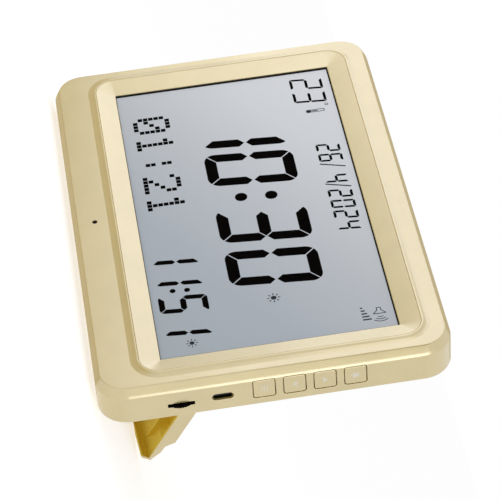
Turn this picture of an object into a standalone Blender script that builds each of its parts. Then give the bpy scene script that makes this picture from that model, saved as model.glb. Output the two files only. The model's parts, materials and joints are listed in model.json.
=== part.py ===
"""A desk clock with a liquid-crystal display, side keys, a volume wheel and a folding stand.

Every piece is drawn in the clock's own axes, in metres: x to the right of the face, y from
the front plane to the back, and z up the face from its bottom edge. The whole clock then
leans back on its stand, so that its foot and its lower rear edge lie on the floor.
"""

import math

import bmesh
import bpy
from mathutils import Matrix, Vector

# Body
BODY_WIDTH = 0.228
BODY_HEIGHT = 0.157
BODY_DEPTH = 0.0187
BODY_CORNER_RADIUS = 0.014
WALL = 0.002
LEAST_RADIUS = 0.001
GAP = 0.0003
OVERRUN = 0.003
EMBED = 0.0006
CORNER_STEPS = 6
ROUND_STEPS = 16

# Front edge, from the face to the side wall
CHAMFER_INSET = 0.0023
CHAMFER_DEPTH = 0.003
CHAMFER_SHARE = 0.3
EDGE_ROUND_DEPTH = 0.0019
EDGE_ROUND_SHARE = 0.4
REAR_EDGE_INSET = 0.0004

# Raised ring round the display
RING_SIDE_MARGIN = 0.0036
RING_TOP_MARGIN = 0.0058
CHIN_HEIGHT = 0.0142
RING_SLOPE = 0.003
RING_SLOPE_SHARE = 0.55
RING_HEIGHT = 0.0008
RING_RISE_SHARE = 0.35
RING_CREST = 0.0006
RING_BEVEL = 0.0096
RING_BASE_RADIUS = 0.013
LIP_DEPTH = 0.0021
LIP_THICKNESS = 0.0008
SEAT_WIDTH = 0.0036
SEAT_BLEND = 0.0016

# Back cover
COVER_THICKNESS = 0.0016
COVER_SINK = 0.0002
RIM_WALL = 0.0012
PLATEAU_SIDE_INSET = 0.0165
PLATEAU_BOTTOM_INSET = 0.0105
PLATEAU_TOP_INSET = 0.0042
PLATEAU_SLOPE = 0.0022
PLATEAU_RADIUS = 0.008
PAN_WALL = 0.0015
GRILLE_PITCH = 0.0038
GRILLE_SLOT = 0.0018
GRILLE_SLOTS = 9

# Stand
STAND_WIDTH = 0.148
STAND_LENGTH = 0.0834
STAND_PLATE = 0.0015
STAND_TOP = 0.0043
STAND_DEPTH = 0.007
STAND_ANGLE = math.radians(32.3)
STAND_BARREL = 0.0036
STAND_WALL = 0.0016
STAND_ROOT = 0.006
STAND_RIB = 0.0014
STAND_BAYS = 6
STAND_OUTER_BAY = 0.0115
FOOT_DROP = 0.0037
FOOT_LIP = 0.0015
FOOT_STRAIGHT = 0.096
FOOT_SETBACK = 0.0031
FOOT_ROUND = 0.0015
FOOT_ROUND_STEPS = 3
FOOT_STEPS_SHARE = ((0.791, 0.0), (0.839, 0.58), (0.893, 0.64), (0.95, 1.0))
FOOT_STRIP = 0.0012
FOOT_FACET = 0.0005
REST_FACET = 0.0012
PIVOT_HEIGHT = 0.0643
PIN_RADIUS = 0.00125
PIN_CLEARANCE = 0.00008
PIN_PROUD = 0.001
WASHER_THICKNESS = 0.0006
WASHER_RADIUS = 0.0032

# Display stack, from the front
PANEL_THICKNESS = 0.0024
GUIDE_THICKNESS = 0.0022
STACK_MARGIN = 0.0027
FRAME_WALL = 0.0036
CONNECTOR_HEIGHT = 0.0022
CONNECTOR_WIDTH = 0.16
LEDGE_HEIGHT = 0.0036

# Boards and what they carry
BOARD_THICKNESS = 0.0012
BOARD_LOW = 0.064
BOARD_TAB_LEFT = 0.084
BOARD_TAB_LOW = 0.0225
BOARD_TAB_GAP = 0.0015
CHIP_HEIGHT = 0.0014
PROCESSOR_SIDE = 0.014
DRIVER_LENGTH = 0.018
DRIVER_WIDTH = 0.0075
SOUND_LENGTH = 0.0105
SOUND_WIDTH = 0.006
CRYSTAL_LENGTH = 0.007
CRYSTAL_WIDTH = 0.0024
CRYSTAL_HEIGHT = 0.0018
BACKUP_RADIUS = 0.006
BACKUP_HEIGHT = 0.002
PROCESSOR_PLACE_SHARE = (0.12, 0.72)
DRIVER_PLACE_SHARE = (-0.2, 0.78)
SOUND_PLACE_SHARE = (-0.45, 0.55)
CRYSTAL_PLACE_SHARE = (0.32, 0.6)
BACKUP_PLACE_SHARE = (0.55, 0.75)

# Side keys
KEY_NAMES = ("menu", "down", "up", "alarm")
KEY_PITCH = 0.0134
KEY_PLACE_SHARE = 0.588
SIDE_SPACING = 0.0182
KEY_OPENING_HEIGHT = 0.0102
KEY_OPENING_DEPTH = 0.0106
KEY_OPENING_START = 0.0046
KEY_OPENING_RADIUS = 0.0014
KEY_GAP = 0.0003
KEY_FLANGE = 0.0009
KEY_FLANGE_THICKNESS = 0.0008
KEY_STEM_RADIUS = 0.0016
KEY_STEM_LENGTH = 0.0011
KEY_EDGE = 0.0003
KEY_TRAVEL = 0.0006
SWITCH_SIDE = 0.006
SWITCH_HEIGHT = 0.0034
PLUNGER_RADIUS = 0.0017
PLUNGER_PROUD = 0.0012
PLUNGER_SUNK = 0.0012
PLUNGER_CLEARANCE = 0.00008
KEY_BOARD_MARGIN = 0.0032
KEY_BOARD_DEPTH = 0.0098
KEY_POST = 0.0018

# Volume wheel
WHEEL_RADIUS = 0.008
WHEEL_THICKNESS = 0.0015
WHEEL_PROUD = 0.0016
WHEEL_SLOT_LENGTH = 0.0118
WHEEL_SLOT_WIDTH = 0.0021
WHEEL_GROOVE = 0.0003
WHEEL_GROOVES = 40
WHEEL_BORE = 0.0016
WHEEL_CLEARANCE = 0.00008
CONTROL_RADIUS = 0.004
CONTROL_HEIGHT = 0.0019
ROTOR_FLOOR = 0.0004
ROTOR_SCREW_RADIUS = 0.0007
SCREW_CAP_RADIUS = 0.0026

# Charging socket
SOCKET_LENGTH = 0.00894
SOCKET_WIDTH = 0.0032
SOCKET_WALL = 0.0003
SOCKET_REACH = 0.0073
SOCKET_INSET = 0.0006
SOCKET_CLEARANCE = 0.00022
SOCKET_BACK = 0.0016
TONGUE_LENGTH = 0.0067
TONGUE_WIDTH = 0.0007
TONGUE_INSET = 0.0009

# Speaker and battery, below the stand's recess
SPEAKER_RADIUS = 0.0195
SPEAKER_ACROSS = -0.046
SPEAKER_BASKET = 0.0042
SPEAKER_RIM = 0.0012
SPEAKER_SHEET = 0.0008
MAGNET_RADIUS = 0.011
MAGNET_HEIGHT = 0.0032
CONE_RADIUS = 0.0165
CONE_SHEET = 0.0004
CONE_SINK = 0.0022
DUST_CAP_RADIUS = 0.006
DUST_CAP_DOME = 0.001
BASKET_STEP_SHARE = 0.4
GASKET_THICKNESS = 0.0008
SPEAKER_WALL = 0.0013
SPEAKER_WALL_HEIGHT = 0.003
BATTERY_LENGTH = 0.058
BATTERY_HEIGHT = 0.034
BATTERY_DEPTH = 0.006
BATTERY_LEFT = 0.004
BATTERY_EDGE = 0.0012
TAPE_THICKNESS = 0.0006
TAPE_SHARE = 0.8

# Indicator in the chin
INDICATOR_HEIGHT = 0.01036
INDICATOR_RADIUS = 0.00095
INDICATOR_SINK = 0.0003
INDICATOR_FLANGE = 0.0016
INDICATOR_FLANGE_DEPTH = 0.0008
LED_SIDE = 0.0016
LED_HEIGHT = 0.0008
LED_BOARD_LENGTH = 0.018
LED_BOARD_WIDTH = 0.007
LED_PEG_RADIUS = 0.0009
LED_PEG_SHARE = 0.36

# Screws and their posts
CASE_POST_RADIUS = 0.003
CASE_POST_SIDE_INSET = 0.0092
CASE_POST_END_INSET = 0.0085
CASE_POST_LOW_SHARE = 0.46
SCREW_RADIUS = 0.0012
SCREW_CLEARANCE = 0.0002
SCREW_HEAD_RADIUS = 0.0024
SCREW_HEAD_HEIGHT = 0.0008
SCREW_LENGTH = 0.009
SCREW_STEPS = 12
FRAME_EAR_RADIUS = 0.0034
FRAME_EAR_SHARE = 0.62
FRAME_EAR_THICKNESS = 0.0014
FRAME_SCREW_RADIUS = 0.0009
FRAME_SCREW_HEAD = 0.0019
FRAME_SCREW_LENGTH = 0.0042
BOARD_SCREW_INSET = 0.003

# Worked out from the sizes above
HALF_WIDTH = BODY_WIDTH / 2
EDGE_DEPTH = CHAMFER_DEPTH + EDGE_ROUND_DEPTH
RING_TO_LIP = RING_SLOPE + RING_CREST + RING_BEVEL
STACK_FRONT = LIP_DEPTH + LIP_THICKNESS
PANEL_FRONT = STACK_FRONT + GAP / 3
PANEL_BACK = PANEL_FRONT + PANEL_THICKNESS
GUIDE_FRONT = PANEL_BACK + GAP
BOARD_FRONT = GUIDE_FRONT + GUIDE_THICKNESS + GAP
BOARD_BACK = BOARD_FRONT + BOARD_THICKNESS
COVER_BACK = BODY_DEPTH - COVER_SINK
COVER_FRONT = COVER_BACK - COVER_THICKNESS
LEDGE = COVER_FRONT - GAP
LIP_SIDE = CHAMFER_INSET + RING_SIDE_MARGIN + RING_TO_LIP
LIP_LOW = CHAMFER_INSET + CHIN_HEIGHT + RING_TO_LIP
LIP_HIGH = BODY_HEIGHT - CHAMFER_INSET - RING_TOP_MARGIN - RING_TO_LIP
STACK_HALF = HALF_WIDTH - LIP_SIDE + STACK_MARGIN
STACK_LOW = LIP_LOW - STACK_MARGIN
STACK_HIGH = LIP_HIGH + STACK_MARGIN
FRAME_HALF = STACK_HALF + GAP + FRAME_WALL
FRAME_LOW = STACK_LOW - GAP - FRAME_WALL
FRAME_HIGH = STACK_HIGH + GAP + FRAME_WALL
STAND_HALF = STAND_WIDTH / 2
STAND_UNDER = STAND_TOP - STAND_DEPTH
FOOT_LOW = STAND_UNDER - FOOT_DROP
RECESS_HALF = STAND_HALF + WASHER_THICKNESS + 2 * GAP
PIVOT_DEPTH = COVER_BACK + GAP
RECESS_FLOOR = PIVOT_DEPTH - STAND_TOP - GAP
PLATEAU_BACK = PIVOT_DEPTH - STAND_UNDER + GAP
RECESS_TOP = PIVOT_HEIGHT + STAND_LENGTH + GAP + WASHER_THICKNESS
STAND_ALONG = Vector((0, math.cos(STAND_ANGLE), -math.sin(STAND_ANGLE)))
STAND_UP = Vector((0, math.sin(STAND_ANGLE), math.cos(STAND_ANGLE)))
PIVOT = Vector((0, PIVOT_DEPTH, PIVOT_HEIGHT))
SILL_REACH = (PLATEAU_BACK - PIVOT_DEPTH - STAND_UNDER * STAND_UP.y) / STAND_ALONG.y
SILL_HEIGHT = PIVOT_HEIGHT + SILL_REACH * STAND_ALONG.z + STAND_UNDER * STAND_UP.z - GAP
FOOT_POINT = PIVOT + STAND_LENGTH * STAND_ALONG + FOOT_LOW * STAND_UP + Vector((0, 0, FOOT_FACET))
REST_POINT = Vector((0, BODY_DEPTH - REST_FACET, 0))
LEAN = math.atan2(FOOT_POINT.z - REST_POINT.z, FOOT_POINT.y - REST_POINT.y)
SPEAKER_HEIGHT = (PLATEAU_BOTTOM_INSET + SILL_HEIGHT - PAN_WALL) / 2
PLATEAU_INNER = PLATEAU_BACK - COVER_THICKNESS
KEY_OPENING_END = KEY_OPENING_START + KEY_OPENING_DEPTH
KEY_MIDDLE = KEY_PLACE_SHARE * BODY_HEIGHT
SOCKET_HEIGHT = KEY_MIDDLE - (len(KEY_NAMES) - 1) * KEY_PITCH / 2 - SIDE_SPACING
WHEEL_HEIGHT = SOCKET_HEIGHT - SIDE_SPACING
KEY_DEPTH = (KEY_OPENING_START + KEY_OPENING_END) / 2
KEY_FACE = HALF_WIDTH
KEY_FLANGE_BACK = HALF_WIDTH - WALL - GAP - KEY_FLANGE_THICKNESS
KEY_STEM_END = KEY_FLANGE_BACK - KEY_STEM_LENGTH
PLUNGER_FACE = KEY_STEM_END - GAP / 3
SWITCH_FACE = PLUNGER_FACE - PLUNGER_PROUD
SWITCH_BACK = SWITCH_FACE - SWITCH_HEIGHT
KEY_BOARD_FACE = SWITCH_BACK - GAP / 3
KEY_BOARD_BACK = KEY_BOARD_FACE - BOARD_THICKNESS
KEY_BOARD_HALF = (len(KEY_NAMES) - 1) * KEY_PITCH / 2 + SWITCH_SIDE / 2 + KEY_BOARD_MARGIN
SOCKET_DEPTH = BOARD_BACK + GAP / 3 + SOCKET_WIDTH / 2
SOCKET_MOUTH = HALF_WIDTH - SOCKET_INSET
WHEEL_DEPTH = BOARD_BACK + CONTROL_HEIGHT + 2 * GAP / 3 + WHEEL_THICKNESS / 2
WHEEL_ACROSS = HALF_WIDTH + WHEEL_PROUD - WHEEL_RADIUS

PARTS = "desk_clock"
CUTTERS = "cutters"


def clear_scene():
    for obj in list(bpy.data.objects):
        bpy.data.objects.remove(obj, do_unlink=True)
    for name in (PARTS, CUTTERS):
        bpy.context.scene.collection.children.link(bpy.data.collections.new(name))


def material(name, colour, roughness, metallic=0.0, alpha=1.0):
    """A Principled material, made once for each name."""
    made = bpy.data.materials.get(name)
    if made is None:
        made = bpy.data.materials.new(name)
        made.use_nodes = True
        shader = made.node_tree.nodes["Principled BSDF"]
        shader.inputs["Base Color"].default_value = (*colour, 1)
        shader.inputs["Roughness"].default_value = roughness
        shader.inputs["Metallic"].default_value = metallic
        shader.inputs["Alpha"].default_value = alpha
        made.diffuse_color = (*colour, alpha)
    return made


def champagne_plastic():
    return material("champagne_plastic", (0.72, 0.62, 0.42), 0.35, 0.25)


def clear_plastic():
    return material("clear_plastic", (0.9, 0.92, 0.93), 0.1, alpha=0.25)


def display_glass():
    return material("display_glass", (0.6, 0.63, 0.67), 0.3)


def white_plastic():
    return material("white_plastic", (0.85, 0.85, 0.83), 0.5)


def black_plastic():
    return material("black_plastic", (0.03, 0.03, 0.03), 0.5)


def board_laminate():
    return material("board_laminate", (0.03, 0.2, 0.09), 0.5)


def steel():
    return material("steel", (0.6, 0.6, 0.62), 0.3, 1.0)


def black_rubber():
    return material("black_rubber", (0.05, 0.045, 0.035), 0.8)


def battery_wrap():
    return material("battery_wrap", (0.35, 0.4, 0.45), 0.4, 0.3)


def paper_cone():
    return material("paper_cone", (0.06, 0.06, 0.06), 0.9)


def object_from(bm, name, collection, frame, origin=Vector()):
    """An object in the clock's axes, with its own origin at the place given."""
    bmesh.ops.translate(bm, verts=bm.verts, vec=-origin)
    bmesh.ops.recalc_face_normals(bm, faces=bm.faces)
    mesh = bpy.data.meshes.new(name)
    bm.to_mesh(mesh)
    bm.free()
    obj = bpy.data.objects.new(name, mesh)
    obj.location = origin
    obj.parent = frame
    bpy.data.collections[collection].objects.link(obj)
    return obj


def part(bm, name, frame, look, origin=Vector(), smooth=True):
    obj = object_from(bm, name, PARTS, frame, origin)
    obj.data.materials.append(look)
    if smooth:
        obj.data.shade_smooth()
        obj.data.set_sharp_from_angle(angle=math.radians(35))
    return obj


def tool(bm, name, frame, origin=Vector()):
    obj = object_from(bm, name, CUTTERS, frame, origin)
    obj.hide_render = True
    obj.display_type = "WIRE"
    return obj


def combine(obj, other, operation):
    modifier = obj.modifiers.new(f"{operation.lower()}_{other.name}", "BOOLEAN")
    modifier.operation = operation
    modifier.solver = "EXACT"
    modifier.use_self = True
    modifier.object = other


def cut(obj, other):
    combine(obj, other, "DIFFERENCE")


def join(obj, other):
    combine(obj, other, "UNION")


def round_edges(obj, width, steps=2):
    bevel = obj.modifiers.new("rounded_edges", "BEVEL")
    bevel.width = width
    bevel.segments = steps
    bevel.limit_method = "ANGLE"
    bevel.angle_limit = math.radians(40)


def add_box(bm, low, high):
    low = Vector(low)
    high = Vector(high)
    place = Matrix.Translation((low + high) / 2) @ Matrix.Diagonal((*(high - low), 1))
    bmesh.ops.create_cube(bm, size=1, matrix=place)


def add_rod(bm, start, end, radius, steps=ROUND_STEPS):
    start = Vector(start)
    end = Vector(end)
    turn = Vector((0, 0, 1)).rotation_difference(end - start).to_matrix().to_4x4()
    bmesh.ops.create_cone(
        bm,
        cap_ends=True,
        segments=steps,
        radius1=radius,
        radius2=radius,
        depth=(end - start).length,
        matrix=Matrix.Translation((start + end) / 2) @ turn,
    )


def box_mesh(low, high):
    bm = bmesh.new()
    add_box(bm, low, high)
    return bm


def rounded_loop(side, low, high, radius, depth):
    """The points of a rounded rectangle in the plane at a depth, set in from the body's side."""
    half = HALF_WIDTH - side
    radius = max(radius, LEAST_RADIUS)
    corners = (
        (half - radius, low + radius, -90),
        (half - radius, high - radius, 0),
        (radius - half, high - radius, 90),
        (radius - half, low + radius, 180),
    )
    points = []
    for x, z, start in corners:
        for step in range(CORNER_STEPS + 1):
            angle = math.radians(start + 90 * step / CORNER_STEPS)
            points.append(Vector((x + radius * math.cos(angle), depth, z + radius * math.sin(angle))))
    return points


def body_loop(inset, depth):
    return rounded_loop(inset, inset, BODY_HEIGHT - inset, BODY_CORNER_RADIUS - inset, depth)


def ring_loop(offset, depth):
    """A loop of the display ring, set in from the ring's outer foot."""
    return rounded_loop(
        CHAMFER_INSET + RING_SIDE_MARGIN + offset,
        CHAMFER_INSET + CHIN_HEIGHT + offset,
        BODY_HEIGHT - CHAMFER_INSET - RING_TOP_MARGIN - offset,
        RING_BASE_RADIUS - offset,
        depth,
    )


def plateau_loop(inset, depth):
    return rounded_loop(
        PLATEAU_SIDE_INSET + inset,
        PLATEAU_BOTTOM_INSET + inset,
        BODY_HEIGHT - PLATEAU_TOP_INSET - inset,
        PLATEAU_RADIUS - inset,
        depth,
    )


def loft(loops, closed):
    """A skin through loops of equal count. It closes on itself, or is capped at both ends."""
    bm = bmesh.new()
    rows = [[bm.verts.new(point) for point in loop] for loop in loops]
    pairs = list(zip(rows, rows[1:]))
    if closed:
        pairs.append((rows[-1], rows[0]))
    else:
        bm.faces.new(rows[0])
        bm.faces.new(rows[-1])
    for first, second in pairs:
        for step in range(len(first)):
            after = (step + 1) % len(first)
            bm.faces.new((first[step], first[after], second[after], second[step]))
    return bm


def circle(x, z, radius, steps=ROUND_STEPS):
    turn = 2 * math.pi / steps
    return [(x + radius * math.cos(i * turn), z + radius * math.sin(i * turn)) for i in range(steps)]


def outline_mesh(name, outlines, thickness):
    """A filled flat curve with its holes, extruded, as a mesh that lies in its own xy plane."""
    curve = bpy.data.curves.new(name, "CURVE")
    curve.dimensions = "2D"
    curve.fill_mode = "BOTH"
    curve.extrude = thickness / 2
    for outline in outlines:
        spline = curve.splines.new("POLY")
        spline.points.add(len(outline) - 1)
        for point, place in zip(spline.points, outline):
            point.co = (*place, 0, 1)
        spline.use_cyclic_u = True
    drawn = bpy.data.objects.new(name, curve)
    bpy.context.scene.collection.objects.link(drawn)
    graph = bpy.context.evaluated_depsgraph_get()
    mesh = bpy.data.meshes.new_from_object(drawn.evaluated_get(graph))
    bm = bmesh.new()
    bm.from_mesh(mesh)
    bmesh.ops.remove_doubles(bm, verts=bm.verts, dist=LEAST_RADIUS / 1000)
    bpy.data.objects.remove(drawn, do_unlink=True)
    bpy.data.meshes.remove(mesh)
    return bm


def face_plate(name, outlines, front, back):
    """A plate with an outline in x and z, between two depths."""
    bm = outline_mesh(name, outlines, back - front)
    turn = Matrix.Rotation(math.radians(90), 4, "X")
    bmesh.ops.transform(bm, matrix=Matrix.Translation((0, (front + back) / 2, 0)) @ turn, verts=bm.verts)
    return bm


def stand_prism(name, outline, low, high):
    """A prism along x, whose outline is given as lengths along the stand and heights above its axis."""
    bm = outline_mesh(name, [outline], high - low)
    across = Matrix(((0, 0, 1, (low + high) / 2), (1, 0, 0, 0), (0, 1, 0, 0), (0, 0, 0, 1)))
    bmesh.ops.transform(bm, matrix=across, verts=bm.verts)
    return bm


def turned(name, profile, frame, look, place, steps):
    """A turned piece: the profile gives radius and depth behind the place, round the y axis."""
    bm = bmesh.new()
    points = [bm.verts.new((radius, 0, depth)) for radius, depth in profile]
    for first, second in zip(points, points[1:]):
        bm.edges.new((first, second))
    if profile[0][0] > 0:
        bm.edges.new((points[-1], points[0]))
    mesh = bpy.data.meshes.new(name)
    bm.to_mesh(mesh)
    bm.free()
    obj = bpy.data.objects.new(name, mesh)
    obj.parent = frame
    obj.location = place
    obj.rotation_euler.x = math.radians(-90)
    screw = obj.modifiers.new("turned", "SCREW")
    screw.steps = steps
    screw.render_steps = steps
    screw.use_merge_vertices = True
    screw.merge_threshold = LEAST_RADIUS / 100
    obj.data.materials.append(look)
    bpy.data.collections[PARTS].objects.link(obj)
    return obj


def case_screw_places():
    side = HALF_WIDTH - CASE_POST_SIDE_INSET
    low = CASE_POST_END_INSET
    high = BODY_HEIGHT - CASE_POST_END_INSET
    inner = CASE_POST_LOW_SHARE * HALF_WIDTH
    return [(-side, low), (side, low), (-side, high), (side, high), (-inner, low), (inner, low)]


def frame_ear_places():
    across = FRAME_EAR_SHARE * FRAME_HALF
    low = FRAME_LOW - FRAME_SCREW_HEAD - GAP
    high = FRAME_HIGH + FRAME_SCREW_HEAD + GAP
    return [(-across, low), (across, low), (-across, high), (across, high)]


def board_screw_places():
    across = STACK_HALF + GAP + FRAME_WALL / 2
    low = BOARD_LOW + BOARD_SCREW_INSET
    high = STACK_HIGH - BOARD_SCREW_INSET
    return [(-across, low), (across, low), (-across, high), (across, high)]


def key_heights():
    middle = (len(KEY_NAMES) - 1) / 2
    return [KEY_MIDDLE + (index - middle) * KEY_PITCH for index in range(len(KEY_NAMES))]


def led_peg_places():
    reach = LED_PEG_SHARE * LED_BOARD_LENGTH
    return [(-reach, INDICATOR_HEIGHT), (reach, INDICATOR_HEIGHT)]


def stadium(length, width, steps=ROUND_STEPS // 2):
    """The points of a slot with round ends, long along the second axis."""
    radius = width / 2
    points = []
    for end, start in ((1, 0), (-1, 180)):
        for step in range(steps + 1):
            angle = math.radians(start + 180 * step / steps)
            middle = end * (length / 2 - radius)
            points.append((radius * math.cos(angle), middle + radius * math.sin(angle)))
    return points


def side_prism(name, outlines, inner, outer, depth, height):
    """A prism along x, whose outline is given in depth and height about a middle."""
    bm = outline_mesh(name, outlines, outer - inner)
    place = Matrix(((0, 0, 1, (inner + outer) / 2), (1, 0, 0, depth), (0, 1, 0, height), (0, 0, 0, 1)))
    bmesh.ops.transform(bm, matrix=place, verts=bm.verts)
    return bm


def rounded_square(width, height, radius):
    points = []
    for x, z, start in ((1, -1, -90), (1, 1, 0), (-1, 1, 90), (-1, -1, 180)):
        for step in range(CORNER_STEPS // 2 + 1):
            angle = math.radians(start + 180 * step / CORNER_STEPS)
            across = x * (width / 2 - radius) + radius * math.cos(angle)
            points.append((across, z * (height / 2 - radius) + radius * math.sin(angle)))
    return points


def shell_loops():
    """Sections of the front shell, round the wall from its outer rear edge and back inside it."""
    crest = RING_SLOPE + RING_CREST
    seat = RING_TO_LIP - SEAT_WIDTH
    round_middle = EDGE_DEPTH - EDGE_ROUND_DEPTH * EDGE_ROUND_SHARE
    return [
        body_loop(REAR_EDGE_INSET, BODY_DEPTH),
        body_loop(0, BODY_DEPTH - REAR_EDGE_INSET),
        body_loop(0, EDGE_DEPTH),
        body_loop(CHAMFER_INSET * CHAMFER_SHARE * CHAMFER_SHARE, round_middle),
        body_loop(CHAMFER_INSET * CHAMFER_SHARE, CHAMFER_DEPTH),
        body_loop(CHAMFER_INSET, 0),
        ring_loop(0, 0),
        ring_loop(RING_SLOPE * RING_SLOPE_SHARE, -RING_HEIGHT * RING_RISE_SHARE),
        ring_loop(RING_SLOPE, -RING_HEIGHT),
        ring_loop(crest, -RING_HEIGHT),
        ring_loop(RING_TO_LIP, LIP_DEPTH),
        ring_loop(RING_TO_LIP, STACK_FRONT),
        ring_loop(seat, STACK_FRONT),
        ring_loop(seat - SEAT_BLEND, WALL),
        body_loop(CHAMFER_INSET + WALL, WALL),
        body_loop(WALL, EDGE_DEPTH),
        body_loop(WALL, LEDGE),
        body_loop(RIM_WALL, LEDGE),
        body_loop(RIM_WALL, BODY_DEPTH),
    ]


def shell_posts(frame):
    """Screw posts, indicator pegs and the two grooved posts that hold the key board."""
    bm = bmesh.new()
    for x, z in case_screw_places():
        add_rod(bm, (x, WALL - EMBED, z), (x, LEDGE, z), CASE_POST_RADIUS)
    for x, z in frame_ear_places():
        add_rod(bm, (x, WALL - EMBED, z), (x, GUIDE_FRONT - GAP, z), FRAME_EAR_RADIUS)
    for x, z in led_peg_places():
        end = INDICATOR_SINK + WALL + LED_HEIGHT + 2 * INDICATOR_FLANGE_DEPTH + 2 * BOARD_THICKNESS
        add_rod(bm, (x, WALL - EMBED, z), (x, end, z), LED_PEG_RADIUS)
    for end in (-1, 1):
        z = KEY_MIDDLE + end * KEY_BOARD_HALF
        low = (KEY_BOARD_BACK - KEY_POST, WALL - EMBED, z - KEY_POST)
        high = (KEY_BOARD_FACE + KEY_POST, KEY_DEPTH + KEY_BOARD_DEPTH / 2, z + KEY_POST)
        add_box(bm, low, high)
    return tool(bm, "shell_posts", frame)


def shell_openings(frame):
    """Everything that is cut from the front shell in one pass."""
    bm = bmesh.new()
    for x, z in case_screw_places():
        add_rod(bm, (x, COVER_BACK - SCREW_LENGTH - GAP, z), (x, LEDGE + OVERRUN, z), SCREW_RADIUS + GAP / 6)
    for x, z in frame_ear_places():
        start = GUIDE_FRONT + FRAME_EAR_THICKNESS - FRAME_SCREW_LENGTH
        add_rod(bm, (x, start, z), (x, GUIDE_FRONT + OVERRUN, z), FRAME_SCREW_RADIUS + GAP / 6)
    add_rod(bm, (0, -OVERRUN, INDICATOR_HEIGHT), (0, WALL + EMBED, INDICATOR_HEIGHT), INDICATOR_RADIUS)
    low = (WHEEL_ACROSS, WHEEL_DEPTH - WHEEL_SLOT_WIDTH / 2, WHEEL_HEIGHT - WHEEL_SLOT_LENGTH / 2)
    high = (HALF_WIDTH + OVERRUN, WHEEL_DEPTH + WHEEL_SLOT_WIDTH / 2, WHEEL_HEIGHT + WHEEL_SLOT_LENGTH / 2)
    add_box(bm, low, high)
    half = KEY_BOARD_HALF + GAP
    board_low = (KEY_BOARD_BACK - GAP, KEY_DEPTH - KEY_BOARD_DEPTH / 2 - GAP, KEY_MIDDLE - half)
    add_box(bm, board_low, (KEY_BOARD_FACE + GAP, KEY_DEPTH + KEY_BOARD_DEPTH, KEY_MIDDLE + half))
    reach = KEY_OPENING_DEPTH / 2 + KEY_FLANGE
    room_low = (SWITCH_FACE, KEY_DEPTH - reach, KEY_MIDDLE - half)
    add_box(bm, room_low, (HALF_WIDTH - WALL, KEY_DEPTH + reach, KEY_MIDDLE + half))
    return tool(bm, "shell_openings", frame)


def wheel_room(frame):
    bm = bmesh.new()
    half = Vector((0, WHEEL_SLOT_WIDTH / 2, 0))
    middle = Vector((WHEEL_ACROSS, WHEEL_DEPTH, WHEEL_HEIGHT))
    add_rod(bm, middle - half, middle + half, WHEEL_RADIUS + GAP, 3 * ROUND_STEPS)
    return tool(bm, "wheel_room", frame)


def key_openings(frame):
    bm = bmesh.new()
    inner = HALF_WIDTH - WALL - EMBED
    outer = HALF_WIDTH + OVERRUN
    outline = rounded_square(KEY_OPENING_DEPTH, KEY_OPENING_HEIGHT, KEY_OPENING_RADIUS)
    for height in key_heights():
        append_mesh(bm, side_prism("key_hole", [outline], inner, outer, KEY_DEPTH, height))
    socket = stadium(SOCKET_LENGTH + 2 * SOCKET_CLEARANCE, SOCKET_WIDTH + 2 * SOCKET_CLEARANCE)
    append_mesh(bm, side_prism("socket_hole", [socket], inner, outer, SOCKET_DEPTH, SOCKET_HEIGHT))
    return tool(bm, "key_openings", frame)


def append_mesh(bm, other):
    mesh = bpy.data.meshes.new("appended")
    other.to_mesh(mesh)
    other.free()
    bm.from_mesh(mesh)
    bpy.data.meshes.remove(mesh)


def rest_wedge(frame):
    """Cuts the lower rear edge flat, level with the floor."""
    bm = bmesh.new()
    reach = BODY_WIDTH
    add_box(bm, (-reach, -OVERRUN, -BODY_DEPTH), (reach, BODY_DEPTH, 0))
    wedge = tool(bm, "rest_wedge", frame)
    wedge.location = REST_POINT
    wedge.rotation_euler.x = LEAN
    return wedge


def front_shell(frame):
    shell = part(loft(shell_loops(), True), "front_shell", frame, champagne_plastic())
    join(shell, shell_posts(frame))
    cut(shell, shell_openings(frame))
    cut(shell, key_openings(frame))
    cut(shell, wheel_room(frame))
    cut(shell, rest_wedge(frame))


def cover_pan(frame):
    bm = bmesh.new()
    low = (-RECESS_HALF - PAN_WALL, RECESS_FLOOR - PAN_WALL, SILL_HEIGHT - PAN_WALL)
    high = (RECESS_HALF + PAN_WALL, PLATEAU_BACK - EMBED, RECESS_TOP + PAN_WALL)
    add_box(bm, low, high)
    return tool(bm, "cover_pan", frame)


def cover_recess(frame):
    bm = bmesh.new()
    low = (-RECESS_HALF, RECESS_FLOOR, SILL_HEIGHT)
    add_box(bm, low, (RECESS_HALF, PLATEAU_BACK + OVERRUN, RECESS_TOP))
    return tool(bm, "cover_recess", frame)


def grille_slots():
    """Upright slots whose ends follow the speaker's circle."""
    slots = []
    middle = (GRILLE_SLOTS - 1) / 2
    for index in range(GRILLE_SLOTS):
        across = (index - middle) * GRILLE_PITCH
        length = 2 * math.sqrt((CONE_RADIUS + GRILLE_PITCH / 2) ** 2 - across**2)
        middle_across = SPEAKER_ACROSS + across
        outline = stadium(length, GRILLE_SLOT, ROUND_STEPS // 4)
        slots.append([(middle_across + x, SPEAKER_HEIGHT + z) for x, z in outline])
    return slots


def cover_holes(frame):
    bm = bmesh.new()
    for outline in grille_slots():
        slot = face_plate("slot", [outline], PLATEAU_INNER - EMBED, PLATEAU_BACK + OVERRUN)
        append_mesh(bm, slot)
    for x, z in case_screw_places():
        add_rod(bm, (x, COVER_FRONT - OVERRUN, z), (x, COVER_BACK, z), SCREW_RADIUS + SCREW_CLEARANCE)
    return tool(bm, "cover_holes", frame)


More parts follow.
